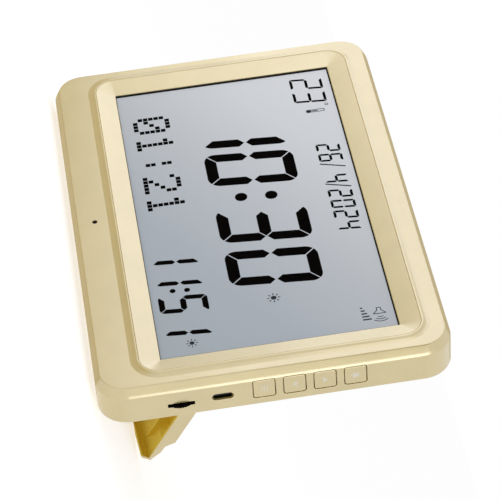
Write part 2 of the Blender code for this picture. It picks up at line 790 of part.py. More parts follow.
def cover_counterbores(frame):
    bm = bmesh.new()
    for x, z in case_screw_places():
        seat = COVER_BACK - SCREW_HEAD_HEIGHT - GAP / 3
        add_rod(bm, (x, seat, z), (x, COVER_BACK + OVERRUN, z), SCREW_HEAD_RADIUS + SCREW_CLEARANCE)
    reach = RECESS_HALF + PAN_WALL + OVERRUN
    add_rod(bm, PIVOT - Vector((reach, 0, 0)), PIVOT + Vector((reach, 0, 0)), PIN_RADIUS + PIN_CLEARANCE)
    return tool(bm, "cover_counterbores", frame)


def speaker_wall(frame):
    """The low ring on the cover's inner face that holds the speaker in place."""
    inner = SPEAKER_RADIUS + GAP
    rings = [
        circle(SPEAKER_ACROSS, SPEAKER_HEIGHT, inner + SPEAKER_WALL, 2 * ROUND_STEPS),
        circle(SPEAKER_ACROSS, SPEAKER_HEIGHT, inner, 2 * ROUND_STEPS),
    ]
    wall = face_plate("wall", rings, PLATEAU_INNER - SPEAKER_WALL_HEIGHT, PLATEAU_INNER + EMBED)
    return tool(wall, "speaker_wall", frame)


def back_cover(frame):
    loops = [
        plateau_loop(PLATEAU_SLOPE + COVER_THICKNESS, PLATEAU_INNER),
        plateau_loop(COVER_THICKNESS, COVER_FRONT),
        body_loop(RIM_WALL + GAP, COVER_FRONT),
        body_loop(RIM_WALL + GAP, COVER_BACK),
        plateau_loop(0, COVER_BACK),
        plateau_loop(PLATEAU_SLOPE, PLATEAU_BACK),
    ]
    cover = part(loft(loops, False), "back_cover", frame, champagne_plastic())
    join(cover, cover_pan(frame))
    join(cover, speaker_wall(frame))
    cut(cover, cover_recess(frame))
    cut(cover, cover_holes(frame))
    cut(cover, cover_counterbores(frame))


def lcd_panel(frame):
    low = (-STACK_HALF, PANEL_FRONT, STACK_LOW)
    high = (STACK_HALF, PANEL_BACK, STACK_HIGH)
    part(box_mesh(low, high), "lcd_panel", frame, display_glass(), smooth=False)


def light_guide(frame):
    low = (-STACK_HALF, GUIDE_FRONT, STACK_LOW + LEDGE_HEIGHT + GAP)
    high = (STACK_HALF, GUIDE_FRONT + GUIDE_THICKNESS, STACK_HIGH)
    part(box_mesh(low, high), "light_guide", frame, white_plastic(), smooth=False)


def lcd_connector(frame):
    """The striped rubber strip between the glass ledge and its contact board."""
    bottom = STACK_LOW + (LEDGE_HEIGHT - CONNECTOR_HEIGHT) / 2
    low = (-CONNECTOR_WIDTH / 2, GUIDE_FRONT, bottom)
    high = (CONNECTOR_WIDTH / 2, GUIDE_FRONT + GUIDE_THICKNESS, bottom + CONNECTOR_HEIGHT)
    part(box_mesh(low, high), "lcd_connector", frame, black_rubber(), smooth=False)


def rectangle(half, low, high):
    return [(-half, low), (half, low), (half, high), (-half, high)]


def lcd_frame(frame):
    """The moulded frame round the display stack, with four screwed ears."""
    outer = rectangle(FRAME_HALF, FRAME_LOW, FRAME_HIGH)
    inner = rectangle(STACK_HALF + GAP, STACK_LOW - GAP, STACK_HIGH + GAP)
    front = STACK_FRONT + GAP
    bm = face_plate("frame", [outer, inner], front, BOARD_FRONT - GAP)
    body = part(bm, "lcd_frame", frame, white_plastic(), smooth=False)
    ears = bmesh.new()
    holes = bmesh.new()
    post_rooms = bmesh.new()
    for x, z in frame_ear_places():
        back = GUIDE_FRONT + FRAME_EAR_THICKNESS
        add_rod(ears, (x, GUIDE_FRONT, z), (x, back, z), FRAME_EAR_RADIUS)
        add_rod(holes, (x, front - OVERRUN, z), (x, back + OVERRUN, z), FRAME_SCREW_RADIUS + SCREW_CLEARANCE)
        add_rod(post_rooms, (x, front - OVERRUN, z), (x, GUIDE_FRONT, z), FRAME_EAR_RADIUS + GAP)
    for x, z in board_screw_places():
        start = BOARD_BACK - FRAME_SCREW_LENGTH - GAP
        add_rod(holes, (x, start, z), (x, BOARD_FRONT + OVERRUN, z), FRAME_SCREW_RADIUS + GAP / 6)
    join(body, tool(ears, "frame_ears", frame))
    cut(body, tool(post_rooms, "post_rooms", frame))
    cut(body, tool(holes, "frame_holes", frame))


def main_board(frame):
    """The board behind the display, with a tab down to the socket and the volume wheel."""
    side = STACK_HALF + GAP + FRAME_WALL - GAP
    tab_side = HALF_WIDTH - WALL - GAP
    tab_top = KEY_MIDDLE - KEY_BOARD_HALF - KEY_POST - BOARD_TAB_GAP
    outline = [
        (-side, BOARD_LOW),
        (BOARD_TAB_LEFT, BOARD_LOW),
        (BOARD_TAB_LEFT, BOARD_TAB_LOW),
        (tab_side, BOARD_TAB_LOW),
        (tab_side, tab_top),
        (side, tab_top),
        (side, STACK_HIGH),
        (-side, STACK_HIGH),
    ]
    holes = [circle(x, z, FRAME_SCREW_RADIUS + SCREW_CLEARANCE) for x, z in board_screw_places()]
    bm = face_plate("board", [outline, *holes], BOARD_FRONT, BOARD_BACK)
    part(bm, "main_board", frame, board_laminate(), smooth=False)


def board_piece(frame, name, share, length, width, height, look):
    """A flat package on the back of the main board."""
    x = share[0] * STACK_HALF
    z = share[1] * BODY_HEIGHT
    front = BOARD_BACK + GAP / 3
    low = (x - length / 2, front, z - width / 2)
    high = (x + length / 2, front + height, z + width / 2)
    part(box_mesh(low, high), name, frame, look, smooth=False)


def board_pieces(frame):
    dark = black_plastic()
    side = PROCESSOR_SIDE
    board_piece(frame, "processor_chip", PROCESSOR_PLACE_SHARE, side, side, CHIP_HEIGHT, dark)
    board_piece(frame, "display_driver", DRIVER_PLACE_SHARE, DRIVER_LENGTH, DRIVER_WIDTH, CHIP_HEIGHT, dark)
    board_piece(frame, "sound_chip", SOUND_PLACE_SHARE, SOUND_LENGTH, SOUND_WIDTH, CHIP_HEIGHT, dark)
    board_piece(
        frame, "clock_crystal", CRYSTAL_PLACE_SHARE, CRYSTAL_LENGTH, CRYSTAL_WIDTH, CRYSTAL_HEIGHT, steel()
    )
    bm = bmesh.new()
    x = BACKUP_PLACE_SHARE[0] * STACK_HALF
    z = BACKUP_PLACE_SHARE[1] * BODY_HEIGHT
    front = BOARD_BACK + GAP / 3
    add_rod(bm, (x, front, z), (x, front + BACKUP_HEIGHT, z), BACKUP_RADIUS)
    part(bm, "backup_cell", frame, steel())


def key_board(frame):
    low = (KEY_BOARD_BACK, KEY_DEPTH - KEY_BOARD_DEPTH / 2, KEY_MIDDLE - KEY_BOARD_HALF)
    high = (KEY_BOARD_FACE, KEY_DEPTH + KEY_BOARD_DEPTH / 2, KEY_MIDDLE + KEY_BOARD_HALF)
    part(box_mesh(low, high), "key_board", frame, board_laminate(), smooth=False)


def key_set(frame, name, height):
    """One side key: its cap, the switch under it and the switch's plunger."""
    cap_depth = KEY_OPENING_DEPTH - 2 * KEY_GAP
    cap_height = KEY_OPENING_HEIGHT - 2 * KEY_GAP
    radius = KEY_OPENING_RADIUS - KEY_GAP
    origin = Vector((KEY_FACE, KEY_DEPTH, height))
    flange_front = KEY_FLANGE_BACK + KEY_FLANGE_THICKNESS
    face = rounded_square(cap_depth, cap_height, radius)
    flange = rounded_square(cap_depth + 2 * KEY_FLANGE, cap_height + 2 * KEY_FLANGE, radius)
    bm = side_prism("face", [face], flange_front - EMBED / 2, KEY_FACE, KEY_DEPTH, height)
    cap = part(bm, f"{name}_button", frame, champagne_plastic(), origin)
    base = side_prism("flange", [flange], KEY_FLANGE_BACK, flange_front, KEY_DEPTH, height)
    stem_start = (KEY_STEM_END, KEY_DEPTH, height)
    stem_end = (KEY_FLANGE_BACK + EMBED / 2, KEY_DEPTH, height)
    stem = bmesh.new()
    add_rod(stem, stem_start, stem_end, KEY_STEM_RADIUS)
    join(cap, tool(base, f"{name}_flange", frame))
    join(cap, tool(stem, f"{name}_stem", frame))

    half = SWITCH_SIDE / 2
    low = (SWITCH_BACK, KEY_DEPTH - half, height - half)
    high = (SWITCH_FACE, KEY_DEPTH + half, height + half)
    switch = part(box_mesh(low, high), f"{name}_switch", frame, black_plastic(), smooth=False)
    bore = bmesh.new()
    bottom = SWITCH_FACE - PLUNGER_SUNK - KEY_TRAVEL - GAP
    bore_end = (SWITCH_FACE + OVERRUN, KEY_DEPTH, height)
    add_rod(bore, (bottom, KEY_DEPTH, height), bore_end, PLUNGER_RADIUS + PLUNGER_CLEARANCE)
    cut(switch, tool(bore, f"{name}_bore", frame))

    plunger = bmesh.new()
    plunger_start = (SWITCH_FACE - PLUNGER_SUNK, KEY_DEPTH, height)
    add_rod(plunger, plunger_start, (PLUNGER_FACE, KEY_DEPTH, height), PLUNGER_RADIUS)
    part(plunger, f"{name}_plunger", frame, black_plastic(), origin)


def volume_wheel(frame):
    """A thin wheel with a finely grooved rim, on a flat rotary control."""
    place = Vector((WHEEL_ACROSS, WHEEL_DEPTH, WHEEL_HEIGHT))
    outline = []
    steps = 2 * WHEEL_GROOVES
    for step in range(steps):
        radius = WHEEL_RADIUS - WHEEL_GROOVE * (step % 2)
        angle = 2 * math.pi * step / steps
        outline.append((WHEEL_ACROSS + radius * math.cos(angle), WHEEL_HEIGHT + radius * math.sin(angle)))
    bore = circle(WHEEL_ACROSS, WHEEL_HEIGHT, WHEEL_BORE + WHEEL_CLEARANCE)
    front = WHEEL_DEPTH - WHEEL_THICKNESS / 2
    back = WHEEL_DEPTH + WHEEL_THICKNESS / 2
    bm = face_plate("wheel", [outline, bore], front, back)
    part(bm, "volume_wheel", frame, black_plastic(), place, smooth=False)

    depth = Vector((0, 1, 0))
    middle = Vector((WHEEL_ACROSS, 0, WHEEL_HEIGHT))
    control_front = middle + (BOARD_BACK + GAP / 3) * depth
    control_back = control_front + CONTROL_HEIGHT * depth
    control = bmesh.new()
    add_rod(control, control_front, control_back, CONTROL_RADIUS, 2 * ROUND_STEPS)
    body = part(control, "volume_control", frame, black_plastic())
    rotor_front = control_front + (ROTOR_FLOOR + GAP / 3) * depth
    bore = bmesh.new()
    bore_end = control_back + OVERRUN * depth
    add_rod(bore, control_front + ROTOR_FLOOR * depth, bore_end, WHEEL_BORE + WHEEL_CLEARANCE)
    cut(body, tool(bore, "control_bore", frame))

    rotor_back = middle + (back + GAP / 3) * depth
    rotor = bmesh.new()
    add_rod(rotor, rotor_front, rotor_back, WHEEL_BORE)
    shaft = part(rotor, "volume_rotor", frame, steel(), place)
    tapped = bmesh.new()
    tapped_front = rotor_front + 2 * ROTOR_FLOOR * depth
    add_rod(tapped, tapped_front, rotor_back + OVERRUN * depth, ROTOR_SCREW_RADIUS + GAP / 6)
    cut(shaft, tool(tapped, "rotor_bore", frame, place))

    seat = rotor_back.y + GAP / 3
    length = seat + SCREW_HEAD_HEIGHT - tapped_front.y - GAP / 3
    profile = screw_profile(seat, ROTOR_SCREW_RADIUS, SCREW_CAP_RADIUS, length)
    shifted = [(radius, reach - WHEEL_DEPTH) for radius, reach in profile]
    turned("volume_wheel_screw", shifted, frame, steel(), place, SCREW_STEPS)


def charging_socket(frame):
    """The metal shell of the socket, and its moulded core with the contact tongue."""
    outer = stadium(SOCKET_LENGTH, SOCKET_WIDTH)
    inner = stadium(SOCKET_LENGTH - 2 * SOCKET_WALL, SOCKET_WIDTH - 2 * SOCKET_WALL)
    back = SOCKET_MOUTH - SOCKET_REACH
    shell = side_prism("shell", [outer, inner], back, SOCKET_MOUTH, SOCKET_DEPTH, SOCKET_HEIGHT)
    part(shell, "socket_shell", frame, steel())
    fit = SOCKET_WALL + GAP / 3
    plug = stadium(SOCKET_LENGTH - 2 * fit, SOCKET_WIDTH - 2 * fit)
    core = side_prism("core", [plug], back, back + SOCKET_BACK, SOCKET_DEPTH, SOCKET_HEIGHT)
    body = part(core, "socket_core", frame, black_plastic())
    tongue = bmesh.new()
    low = (back + EMBED, SOCKET_DEPTH - TONGUE_WIDTH / 2, SOCKET_HEIGHT - TONGUE_LENGTH / 2)
    high = (SOCKET_MOUTH - TONGUE_INSET, SOCKET_DEPTH + TONGUE_WIDTH / 2, SOCKET_HEIGHT + TONGUE_LENGTH / 2)
    add_box(tongue, low, high)
    join(body, tool(tongue, "socket_tongue", frame))


def speaker(frame):
    """A small loudspeaker that faces the grille, on a foam ring, with its magnet behind it."""
    place = Vector((SPEAKER_ACROSS, 0, SPEAKER_HEIGHT))
    gasket_back = PLATEAU_INNER - GAP / 3
    gasket_front = gasket_back - GASKET_THICKNESS
    inner = CONE_RADIUS + SPEAKER_RIM
    gasket = [
        (SPEAKER_RADIUS, gasket_back),
        (SPEAKER_RADIUS, gasket_front),
        (inner, gasket_front),
        (inner, gasket_back),
    ]
    steps = 2 * ROUND_STEPS
    turned("speaker_gasket", gasket, frame, black_rubber(), place, steps)
    cone_top = gasket_front - GAP / 3
    rim = cone_top - CONE_SHEET - GAP / 3
    floor = rim - SPEAKER_BASKET
    bend = floor + BASKET_STEP_SHARE * SPEAKER_BASKET
    basket = [
        (SPEAKER_RADIUS, rim),
        (SPEAKER_RADIUS, rim - SPEAKER_SHEET),
        (CONE_RADIUS + SPEAKER_SHEET, rim - SPEAKER_SHEET),
        (CONE_RADIUS + SPEAKER_SHEET, bend - SPEAKER_SHEET / 2),
        (MAGNET_RADIUS, floor),
        (DUST_CAP_RADIUS, floor),
        (DUST_CAP_RADIUS, floor + SPEAKER_SHEET),
        (MAGNET_RADIUS, floor + SPEAKER_SHEET),
        (CONE_RADIUS, bend),
        (CONE_RADIUS, rim),
    ]
    turned("speaker_basket", basket, frame, steel(), place, steps)
    magnet_back = floor - GAP / 3
    magnet = [
        (0, magnet_back),
        (MAGNET_RADIUS, magnet_back),
        (MAGNET_RADIUS, magnet_back - MAGNET_HEIGHT),
        (0, magnet_back - MAGNET_HEIGHT),
    ]
    turned("speaker_magnet", magnet, frame, steel(), place, steps)
    edge = CONE_RADIUS - 2 * GAP
    flange = (SPEAKER_RADIUS + inner) / 2
    cone = [
        (0, cone_top - CONE_SINK + DUST_CAP_DOME),
        (DUST_CAP_RADIUS, cone_top - CONE_SINK),
        (edge, cone_top),
        (flange, cone_top),
        (flange, cone_top - CONE_SHEET),
        (edge, cone_top - CONE_SHEET),
        (DUST_CAP_RADIUS, cone_top - CONE_SINK - CONE_SHEET),
        (0, cone_top - CONE_SINK + DUST_CAP_DOME - CONE_SHEET),
    ]
    turned("speaker_cone", cone, frame, paper_cone(), place, steps)


def battery(frame):
    tape_back = PLATEAU_INNER - GAP / 3
    back = tape_back - TAPE_THICKNESS - GAP / 3
    middle = BATTERY_LEFT + BATTERY_LENGTH / 2
    low = (BATTERY_LEFT, back - BATTERY_DEPTH, SPEAKER_HEIGHT - BATTERY_HEIGHT / 2)
    high = (BATTERY_LEFT + BATTERY_LENGTH, back, SPEAKER_HEIGHT + BATTERY_HEIGHT / 2)
    pack = part(box_mesh(low, high), "battery_pack", frame, battery_wrap())
    round_edges(pack, BATTERY_EDGE, 3)
    half_length = TAPE_SHARE * BATTERY_LENGTH / 2
    half_height = TAPE_SHARE * BATTERY_HEIGHT / 2
    tape_low = (middle - half_length, tape_back - TAPE_THICKNESS, SPEAKER_HEIGHT - half_height)
    tape_high = (middle + half_length, tape_back, SPEAKER_HEIGHT + half_height)
    part(box_mesh(tape_low, tape_high), "battery_tape", frame, black_rubber(), smooth=False)


def indicator(frame):
    """The clear pin in the chin, the lamp behind it and the little board that carries the lamp."""
    flange_front = WALL + GAP
    flange_back = flange_front + INDICATOR_FLANGE_DEPTH
    radius = INDICATOR_RADIUS - GAP / 2
    place = Vector((0, 0, INDICATOR_HEIGHT))
    profile = [
        (0, flange_back),
        (INDICATOR_FLANGE, flange_back),
        (INDICATOR_FLANGE, flange_front),
        (radius, flange_front),
        (radius, INDICATOR_SINK),
        (0, INDICATOR_SINK),
    ]
    turned("indicator_lens", profile, frame, clear_plastic(), place, ROUND_STEPS)
    half = LED_SIDE / 2
    led_front = flange_back + GAP
    led_back = led_front + LED_HEIGHT
    low = (-half, led_front, INDICATOR_HEIGHT - half)
    part(box_mesh(low, (half, led_back, INDICATOR_HEIGHT + half)), "indicator_lamp", frame, white_plastic())
    front = led_back + GAP / 3
    outline = rectangle(
        LED_BOARD_LENGTH / 2,
        INDICATOR_HEIGHT - LED_BOARD_WIDTH / 2,
        INDICATOR_HEIGHT + LED_BOARD_WIDTH / 2,
    )
    holes = [circle(x, z, LED_PEG_RADIUS + GAP / 2) for x, z in led_peg_places()]
    board = face_plate("led_board", [outline, *holes], front, front + BOARD_THICKNESS)
    part(board, "indicator_board", frame, board_laminate(), smooth=False)


def foot_profile():
    """The stand's upper line near its foot, as lengths along it and heights above its axis."""
    foot_top = STAND_UNDER + STAND_PLATE
    drop = STAND_TOP - foot_top
    return [(share * STAND_LENGTH, STAND_TOP - fall * drop) for share, fall in FOOT_STEPS_SHARE]


def foot_plan(setback, width):
    """The stand's outline seen square on, with its foot's ends swept back."""
    straight = FOOT_STRAIGHT / 2
    length = STAND_LENGTH - setback
    return [
        (-width, 0),
        (width, 0),
        (width, length - FOOT_SETBACK),
        (straight, length),
        (-straight, length),
        (-width, length - FOOT_SETBACK),
    ]


def stand_plate_mesh(name, outline, low, high):
    """A plate with an outline across and along the stand, between two heights above its axis."""
    bm = outline_mesh(name, [outline], high - low)
    bmesh.ops.translate(bm, verts=bm.verts, vec=(0, 0, (low + high) / 2))
    return bm


def stand_bays():
    """The outer and inner side of each hollow between the stand's side walls and ribs."""
    inner_half = STAND_HALF - STAND_WALL
    first = inner_half - STAND_OUTER_BAY
    edges = [(-inner_half, -first)]
    left = -first + STAND_RIB
    count = STAND_BAYS - 2
    width = (2 * (first - STAND_RIB) - (count - 1) * STAND_RIB) / count
    for _ in range(count):
        edges.append((left, left + width))
        left += width + STAND_RIB
    edges.append((first, inner_half))
    return edges


def place_on_stand(obj):
    obj.location = PIVOT
    obj.rotation_euler.x = -STAND_ANGLE


def stand_block():
    """The solid that the leg is cut from, with its lower side edges rounded."""
    levels = []
    for step in range(FOOT_ROUND_STEPS + 1):
        angle = math.radians(90) * step / FOOT_ROUND_STEPS
        inset = FOOT_ROUND * (1 - math.sin(angle))
        levels.append((inset, FOOT_LOW + FOOT_ROUND * (1 - math.cos(angle))))
    levels.append((0, STAND_TOP))
    outlines = [(foot_plan(0, STAND_HALF - inset), up) for inset, up in levels]
    return loft([[Vector((*point, up)) for point in outline] for outline, up in outlines], False)


def floor_cut(name, frame, rise):
    """Everything below the floor that the open stand is on, or below a level just above that floor."""
    bm = box_mesh((-BODY_WIDTH, -BODY_WIDTH, -BODY_WIDTH), (BODY_WIDTH, BODY_WIDTH, rise))
    ground = tool(bm, name, frame)
    ground.location = FOOT_POINT
    ground.rotation_euler.x = LEAN
    return ground


def stand_leg(frame):
    """A channel with ribs under its plate, a rolled root round the pin and a turned-down foot."""
    leg = part(stand_block(), "stand_leg", frame, champagne_plastic())
    place_on_stand(leg)
    cut(leg, floor_cut("foot_clearance", frame, GAP))

    reach = FOOT_STRAIGHT / 2 + GAP
    room_low = (-reach, STAND_LENGTH - FOOT_LIP - OVERRUN, FOOT_LOW - OVERRUN)
    room_high = (reach, STAND_LENGTH + OVERRUN, FOOT_LOW + FOOT_STRIP + GAP / 3)
    strip_room = tool(box_mesh(room_low, room_high), "strip_room", frame)
    place_on_stand(strip_room)
    cut(leg, strip_room)

    high = STAND_TOP + OVERRUN
    over = [(STAND_LENGTH + OVERRUN, high)] + [(foot_profile()[0][0], high)] + foot_profile()
    over.append((STAND_LENGTH + OVERRUN, foot_profile()[-1][1]))
    wide = STAND_HALF + OVERRUN
    above = tool(stand_prism("above", over, -wide, wide), "stand_above", frame)
    place_on_stand(above)
    cut(leg, above)

    under = stand_plate_mesh("under", foot_plan(FOOT_LIP, wide), FOOT_LOW - OVERRUN, STAND_UNDER)
    for vert in under.verts:
        if vert.co.y < STAND_ROOT:
            vert.co.y = -STAND_BARREL
    below = tool(under, "stand_under", frame)
    place_on_stand(below)
    cut(leg, below)

    ceiling = [(along, height - STAND_PLATE) for along, height in foot_profile()]
    low = FOOT_LOW - OVERRUN
    hollow = [(STAND_ROOT, low), (STAND_ROOT, STAND_TOP - STAND_PLATE), *ceiling, (ceiling[-1][0], low)]
    bays = bmesh.new()
    for left, right in stand_bays():
        append_mesh(bays, stand_prism("bay", hollow, left, right))
    hollows = tool(bays, "stand_bays", frame)
    place_on_stand(hollows)
    cut(leg, hollows)

    barrel = bmesh.new()
    add_rod(barrel, (-STAND_HALF, 0, 0), (STAND_HALF, 0, 0), STAND_BARREL, 2 * ROUND_STEPS)
    roll = tool(barrel, "stand_barrel", frame)
    place_on_stand(roll)
    join(leg, roll)
    bore = bmesh.new()
    reach = STAND_HALF + OVERRUN
    add_rod(bore, (-reach, 0, 0), (reach, 0, 0), PIN_RADIUS + PIN_CLEARANCE)
    hole = tool(bore, "stand_bore", frame)
    place_on_stand(hole)
    cut(leg, hole)


def foot_strip(frame):
    """The rubber strip under the foot, cut flat where it stands on the floor."""
    straight = FOOT_STRAIGHT / 2
    top = FOOT_LOW + FOOT_STRIP
    bm = box_mesh((-straight, STAND_LENGTH - FOOT_LIP, FOOT_LOW), (straight, STAND_LENGTH, top))
    strip = part(bm, "foot_strip", frame, black_rubber(), smooth=False)
    place_on_stand(strip)
    cut(strip, floor_cut("floor_cut", frame, 0))


def hinge(frame):
    pin = bmesh.new()
    reach = Vector((RECESS_HALF + PAN_WALL + PIN_PROUD, 0, 0))
    add_rod(pin, PIVOT - reach, PIVOT + reach, PIN_RADIUS)
    part(pin, "hinge_pin", frame, steel(), PIVOT)
    for name, side in (("left", -1), ("right", 1)):
        middle = side * (STAND_HALF + GAP + WASHER_THICKNESS / 2)
        half = Vector((WASHER_THICKNESS / 2, 0, 0))
        centre = PIVOT + Vector((middle, 0, 0))
        bm = bmesh.new()
        add_rod(bm, centre - half, centre + half, WASHER_RADIUS)
        washer = part(bm, f"hinge_washer_{name}", frame, steel(), PIVOT)
        bore = bmesh.new()
        reach_out = Vector((OVERRUN, 0, 0))
        add_rod(bore, centre - reach_out, centre + reach_out, PIN_RADIUS + PIN_CLEARANCE)
        cut(washer, tool(bore, f"washer_bore_{name}", frame, PIVOT))


def screw_profile(seat, radius, head_radius, length):
    top = seat + SCREW_HEAD_HEIGHT
    return [
        (0, top),
        (head_radius, top),
        (head_radius, seat),
        (radius, seat),
        (radius, top - length),
        (0, top - length),
    ]


def screws(frame, name, places, seat, radius, head_radius, length):
    """Equal screws, driven in from the back, whose heads bear on the depth given."""
    profile = screw_profile(seat, radius, head_radius, length)
    for number, (x, z) in enumerate(places, 1):
        turned(f"{name}_{number}", profile, frame, steel(), Vector((x, 0, z)), SCREW_STEPS)


def all_screws(frame):
    case_seat = COVER_BACK - SCREW_HEAD_HEIGHT
    ear_seat = GUIDE_FRONT + FRAME_EAR_THICKNESS + GAP / 3
    board_seat = BOARD_BACK + GAP / 3
    radius = FRAME_SCREW_RADIUS
    head = FRAME_SCREW_HEAD
    length = FRAME_SCREW_LENGTH
    screws(frame, "case_screw", case_screw_places(), case_seat, SCREW_RADIUS, SCREW_HEAD_RADIUS, SCREW_LENGTH)
    screws(frame, "frame_screw", frame_ear_places(), ear_seat, radius, head, length)
    screws(frame, "board_screw", board_screw_places(), board_seat, radius, head, length)


def lean_on_floor(frame):
    """Leans the clock back on its stand and centres it over the origin."""
    frame.rotation_euler.x = -LEAN
    graph = bpy.context.evaluated_depsgraph_get()
    graph.update()
    corners = []
    for obj in bpy.data.collections[PARTS].objects:
        if obj.type != "MESH":
            continue
        seen = obj.evaluated_get(graph)
        mesh = seen.to_mesh()
        corners += [seen.matrix_world @ vert.co for vert in mesh.vertices]
        seen.to_mesh_clear()
    low = Vector([min(corner[axis] for corner in corners) for axis in range(3)])
    high = Vector([max(corner[axis] for corner in corners) for axis in range(3)])
    middle = (low + high) / 2
    frame.location = (-middle.x, -middle.y, -low.z)


def main():
    clear_scene()
    frame = bpy.data.objects.new("clock_frame", None)
    bpy.data.collections[PARTS].objects.link(frame)
    front_shell(frame)
    back_cover(frame)
    lcd_panel(frame)
    light_guide(frame)
    lcd_connector(frame)
    lcd_frame(frame)
    main_board(frame)
    board_pieces(frame)
    key_board(frame)
    for name, height in zip(KEY_NAMES, key_heights()):
        key_set(frame, name, height)
    volume_wheel(frame)
    charging_socket(frame)
    speaker(frame)
    battery(frame)
    indicator(frame)
    stand_leg(frame)
    foot_strip(frame)
    hinge(frame)
    all_screws(frame)
    lean_on_floor(frame)


main()
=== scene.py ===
"""The looks of the desk clock: finer mouldings, the display's segments, finishes, light and camera.

Shapes are drawn in the clock's own axes, in metres, as in the part's source: x to the right of
the face, y from the front plane to the back, and z up the face. They are then carried into the
frame, where the clock leans back on its stand.
"""

import json
import math

import bmesh
import bpy
from mathutils import Matrix, Vector

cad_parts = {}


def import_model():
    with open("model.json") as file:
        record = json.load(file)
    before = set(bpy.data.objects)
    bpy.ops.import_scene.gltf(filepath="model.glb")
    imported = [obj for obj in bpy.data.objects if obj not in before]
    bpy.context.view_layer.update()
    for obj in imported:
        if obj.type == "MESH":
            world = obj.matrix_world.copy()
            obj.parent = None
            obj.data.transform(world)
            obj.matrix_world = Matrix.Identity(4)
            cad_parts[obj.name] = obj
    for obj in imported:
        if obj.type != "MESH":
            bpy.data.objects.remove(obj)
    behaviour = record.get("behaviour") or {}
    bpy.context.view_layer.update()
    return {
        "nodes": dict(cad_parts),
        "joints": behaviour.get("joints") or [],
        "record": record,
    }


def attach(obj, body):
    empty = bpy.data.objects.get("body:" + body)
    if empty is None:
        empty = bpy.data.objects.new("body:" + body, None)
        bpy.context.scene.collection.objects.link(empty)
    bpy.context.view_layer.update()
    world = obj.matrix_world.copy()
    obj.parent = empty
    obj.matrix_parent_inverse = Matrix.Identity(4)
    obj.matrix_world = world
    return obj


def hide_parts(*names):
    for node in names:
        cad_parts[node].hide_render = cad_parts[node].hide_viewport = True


MM = 0.001

# Body, as in the part's source
BODY_WIDTH = 228 * MM
BODY_HEIGHT = 157 * MM
BODY_DEPTH = 18.7 * MM
BODY_CORNER_RADIUS = 14 * MM
HALF_WIDTH = BODY_WIDTH / 2
WALL = 2 * MM
GAP = 0.3 * MM
OVERRUN = 3 * MM
EMBED = 0.6 * MM
TOUCH = 0.004 * MM
MERGE = 0.001 * MM
CHAMFER_INSET = 2.3 * MM
CHAMFER_DEPTH = 3 * MM
CHAMFER_SHARE = 0.3
EDGE_DEPTH = 4.9 * MM
RIM_WALL = 1.2 * MM
RING_SIDE = 5.9 * MM
RING_LOW = 16.5 * MM
RING_HIGH = 148.9 * MM
RING_BASE_RADIUS = 13 * MM
RING_SLOPE = 3 * MM
RING_STEP = (1.65 * MM, -0.28 * MM)
RING_RISE = -0.8 * MM
RING_CREST = 3.6 * MM
RING_TO_LIP = 13.2 * MM
LIP_DEPTH = 2.1 * MM
STACK_FRONT = 2.9 * MM
SEAM_WIDTH = 0.36 * MM
SEAM_DEPTH = 0.4 * MM
SEAT_START = 9.6 * MM
SEAT_BLEND = 1.6 * MM
LEDGE = 16.6 * MM

# Back cover
COVER_FRONT = 16.9 * MM
COVER_BACK = 18.5 * MM
COVER_THICKNESS = 1.6 * MM
PLATEAU_SIDE = 16.5 * MM
PLATEAU_LOW = 10.5 * MM
PLATEAU_TOP = 4.2 * MM
PLATEAU_SLOPE = 2.2 * MM
PLATEAU_RADIUS = 8 * MM
PLATEAU_BACK = 21.8 * MM
PAN_WALL = 1.5 * MM
RECESS_HALF = 75.2 * MM
RECESS_FLOOR = 14.2 * MM
RECESS_TOP = 148.6 * MM
GRILLE_PITCH = 3.8 * MM
GRILLE_SLOT = 1.8 * MM
GRILLE_SLOTS = 9
CONE_RADIUS = 16.5 * MM
SPEAKER_ACROSS = -46 * MM
SCREW_SIDE = 104.8 * MM
SCREW_LOW = 8.5 * MM
SCREW_HIGH = 148.5 * MM
SCREW_INNER = 52.44 * MM
SCREW_RADIUS = 1.2 * MM
SCREW_HEAD_RADIUS = 2.4 * MM
SCREW_HEAD_HEIGHT = 0.8 * MM
SCREW_LENGTH = 9 * MM
SCREW_CLEARANCE = 0.2 * MM

# Stand
STAND_HALF = 74 * MM
STAND_LENGTH = 83.4 * MM
STAND_TOP = 4.3 * MM
STAND_UNDER = -2.7 * MM
STAND_PLATE = 1.5 * MM
STAND_WALL = 1.6 * MM
STAND_BARREL = 3.6 * MM
STAND_ROOT = 6 * MM
STAND_RIB = 1.4 * MM
STAND_BAYS = 6
STAND_OUTER_BAY = 11.5 * MM
STAND_ANGLE = math.radians(32.3)
FOOT_LOW = -6.4 * MM
FOOT_LIP = 1.5 * MM
FOOT_STRAIGHT = 96 * MM
FOOT_SETBACK = 3.1 * MM
FOOT_STRIP = 1.2 * MM
FOOT_ROUND = 1.5 * MM
FOOT_FACET = 0.5 * MM
FOOT_STEPS_SHARE = ((0.791, 0.0), (0.839, 0.58), (0.893, 0.64), (0.95, 1.0))
PIVOT = Vector((0, 18.8 * MM, 64.3 * MM))
PIN_RADIUS = 1.25 * MM
PIN_CLEARANCE = 0.08 * MM
REST_POINT = Vector((0, 17.5 * MM, 0))

